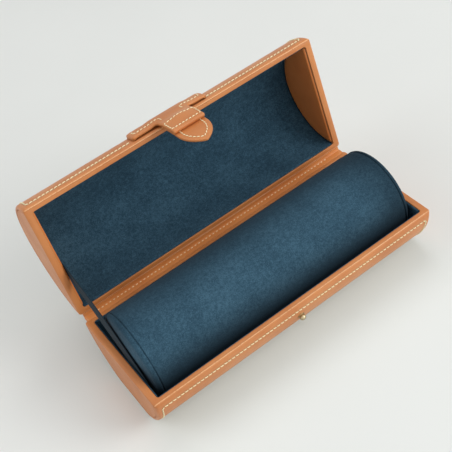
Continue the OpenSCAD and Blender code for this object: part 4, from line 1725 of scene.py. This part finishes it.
@dataclass
class Studio:
    """The camera at the photograph's place, soft lamps and a pale floor."""

    azimuth: float = 24.43
    elevation: float = 44.69
    roll: float = -15.77
    focal: float = 918.4
    eye: tuple[float, float, float] = (-0.2018, -0.4077, 0.5428)
    image: int = 452

    def camera(self) -> None:
        """Create the camera.

        Forward is the azimuth from +Y, tipped down by the elevation. Right and up are turned
        about it by the roll, and the lens gives the focal length in pixels of the image.
        """
        a, e, r = (math.radians(v) for v in (self.azimuth, self.elevation, self.roll))
        ahead = np.array([math.sin(a) * math.cos(e), math.cos(a) * math.cos(e), -math.sin(e)])
        right = np.array([math.cos(a), -math.sin(a), 0.0])
        up = np.cross(right, ahead)
        turned_right = right * math.cos(r) + up * math.sin(r)
        turned_up = -right * math.sin(r) + up * math.cos(r)
        lens = bpy.data.cameras.new("photo_camera")
        lens.sensor_width = 36.0
        lens.sensor_fit = "HORIZONTAL"
        lens.lens = self.focal / self.image * 36.0
        eye = bpy.data.objects.new("photo_camera", lens)
        pose = np.eye(4)
        pose[:3, 0], pose[:3, 1], pose[:3, 2], pose[:3, 3] = turned_right, turned_up, -ahead, self.eye
        eye.matrix_world = Matrix(pose.tolist())
        bpy.context.scene.collection.objects.link(eye)
        bpy.context.scene.camera = eye

    def lamp(self, name: str, place: tuple[float, float, float], size: float, watts: float) -> None:
        """Add a square soft lamp that faces the case.

        Args:
            name: its name.
            place: where it is, in metres.
            size: its side.
            watts: its power.
        """
        data = bpy.data.lights.new(name, "AREA")
        data.shape = "SQUARE"
        data.size = size
        data.energy = watts
        lamp = bpy.data.objects.new(name, data)
        away = np.array(place) - np.array([0.0, 0.02, 0.05])
        away = away / np.linalg.norm(away)
        side = np.cross([0.0, 0.0, 1.0], away)
        side = side / max(np.linalg.norm(side), 1e-6)
        pose = np.eye(4)
        pose[:3, 0], pose[:3, 1], pose[:3, 2], pose[:3, 3] = side, np.cross(away, side), away, place
        lamp.matrix_world = Matrix(pose.tolist())
        bpy.context.scene.collection.objects.link(lamp)

    def floor(self) -> None:
        """Lay a wide pale floor with the faintest mottling."""
        mesh = bpy.data.meshes.new("floor")
        s = 4.0
        mesh.from_pydata([(-s, -s, 0), (s, -s, 0), (s, s, 0), (-s, s, 0)], [], [(0, 1, 2, 3)])
        floor = bpy.data.objects.new("floor", mesh)
        bpy.context.scene.collection.objects.link(floor)
        material, graph, shader = start_material("pale_floor")
        tone = graph.ramp(graph.noise(graph.spot(), 3.0), 0.3, 0.7)
        colour = graph.mix(tone, (0.785, 0.80, 0.775), (0.81, 0.825, 0.80))
        graph.fill(shader, Base_Color=colour, Roughness=0.8, Specular_IOR_Level=0.2)
        mesh.materials.append(material)

    def world(self) -> None:
        """Light everything softly from all round, and show the same pale tone behind the floor."""
        world = bpy.data.worlds.new("studio")
        world.use_nodes = True
        tree = world.node_tree
        tree.nodes.clear()
        graph = Graph(tree)
        camera, glossy, through = (
            graph.node("ShaderNodeLightPath").outputs[f"Is {kind} Ray"]
            for kind in ("Camera", "Glossy", "Transmission")
        )
        seen = graph.math("MAXIMUM", camera, graph.math("MAXIMUM", glossy, through))
        light = graph.node("ShaderNodeBackground", in_Color=(0.98, 0.99, 1.0, 1.0), in_Strength=0.35)
        back = graph.node("ShaderNodeBackground", in_Color=(0.80, 0.80, 0.785, 1.0), in_Strength=1.0)
        pick = graph.node("ShaderNodeMixShader", in_0=seen, in_1=light.outputs[0], in_2=back.outputs[0])
        graph.node("ShaderNodeOutputWorld", in_Surface=pick.outputs[0])
        bpy.context.scene.world = world

    def build(self) -> None:
        """Add the camera, the lamps, the floor and the world."""
        self.camera()
        self.lamp("key", (1.25, -1.2, 1.05), 1.1, 21.0)
        self.lamp("left", (-1.3, 0.6, 1.2), 1.2, 8.1)
        self.lamp("top_back", (0.3, 0.7, 1.9), 1.4, 7.3)
        self.lamp("low", (0.3, -1.9, 0.35), 1.0, 5.8)
        self.lamp("top", (0.25, -0.35, 1.9), 1.8, 4.9)
        self.lamp("fill", (-1.5, -0.9, 0.9), 1.4, 2.3)
        self.floor()
        self.world()
        bpy.context.scene.view_settings.view_transform = "Standard"


def main() -> None:
    logging.basicConfig(level=logging.INFO, format="%(message)s")
    palette = Palette()
    for half in Half:
        LeatherShell(half, palette).build()
        SuedeLining(half, palette).build()
    Hinge(palette).build()
    WatchRoll(palette).build()
    RibbonStay(palette).build()
    Clasp(palette).build()
    Inside(palette).build()
    Studio().build()


if __name__ == "__main__":
    main()
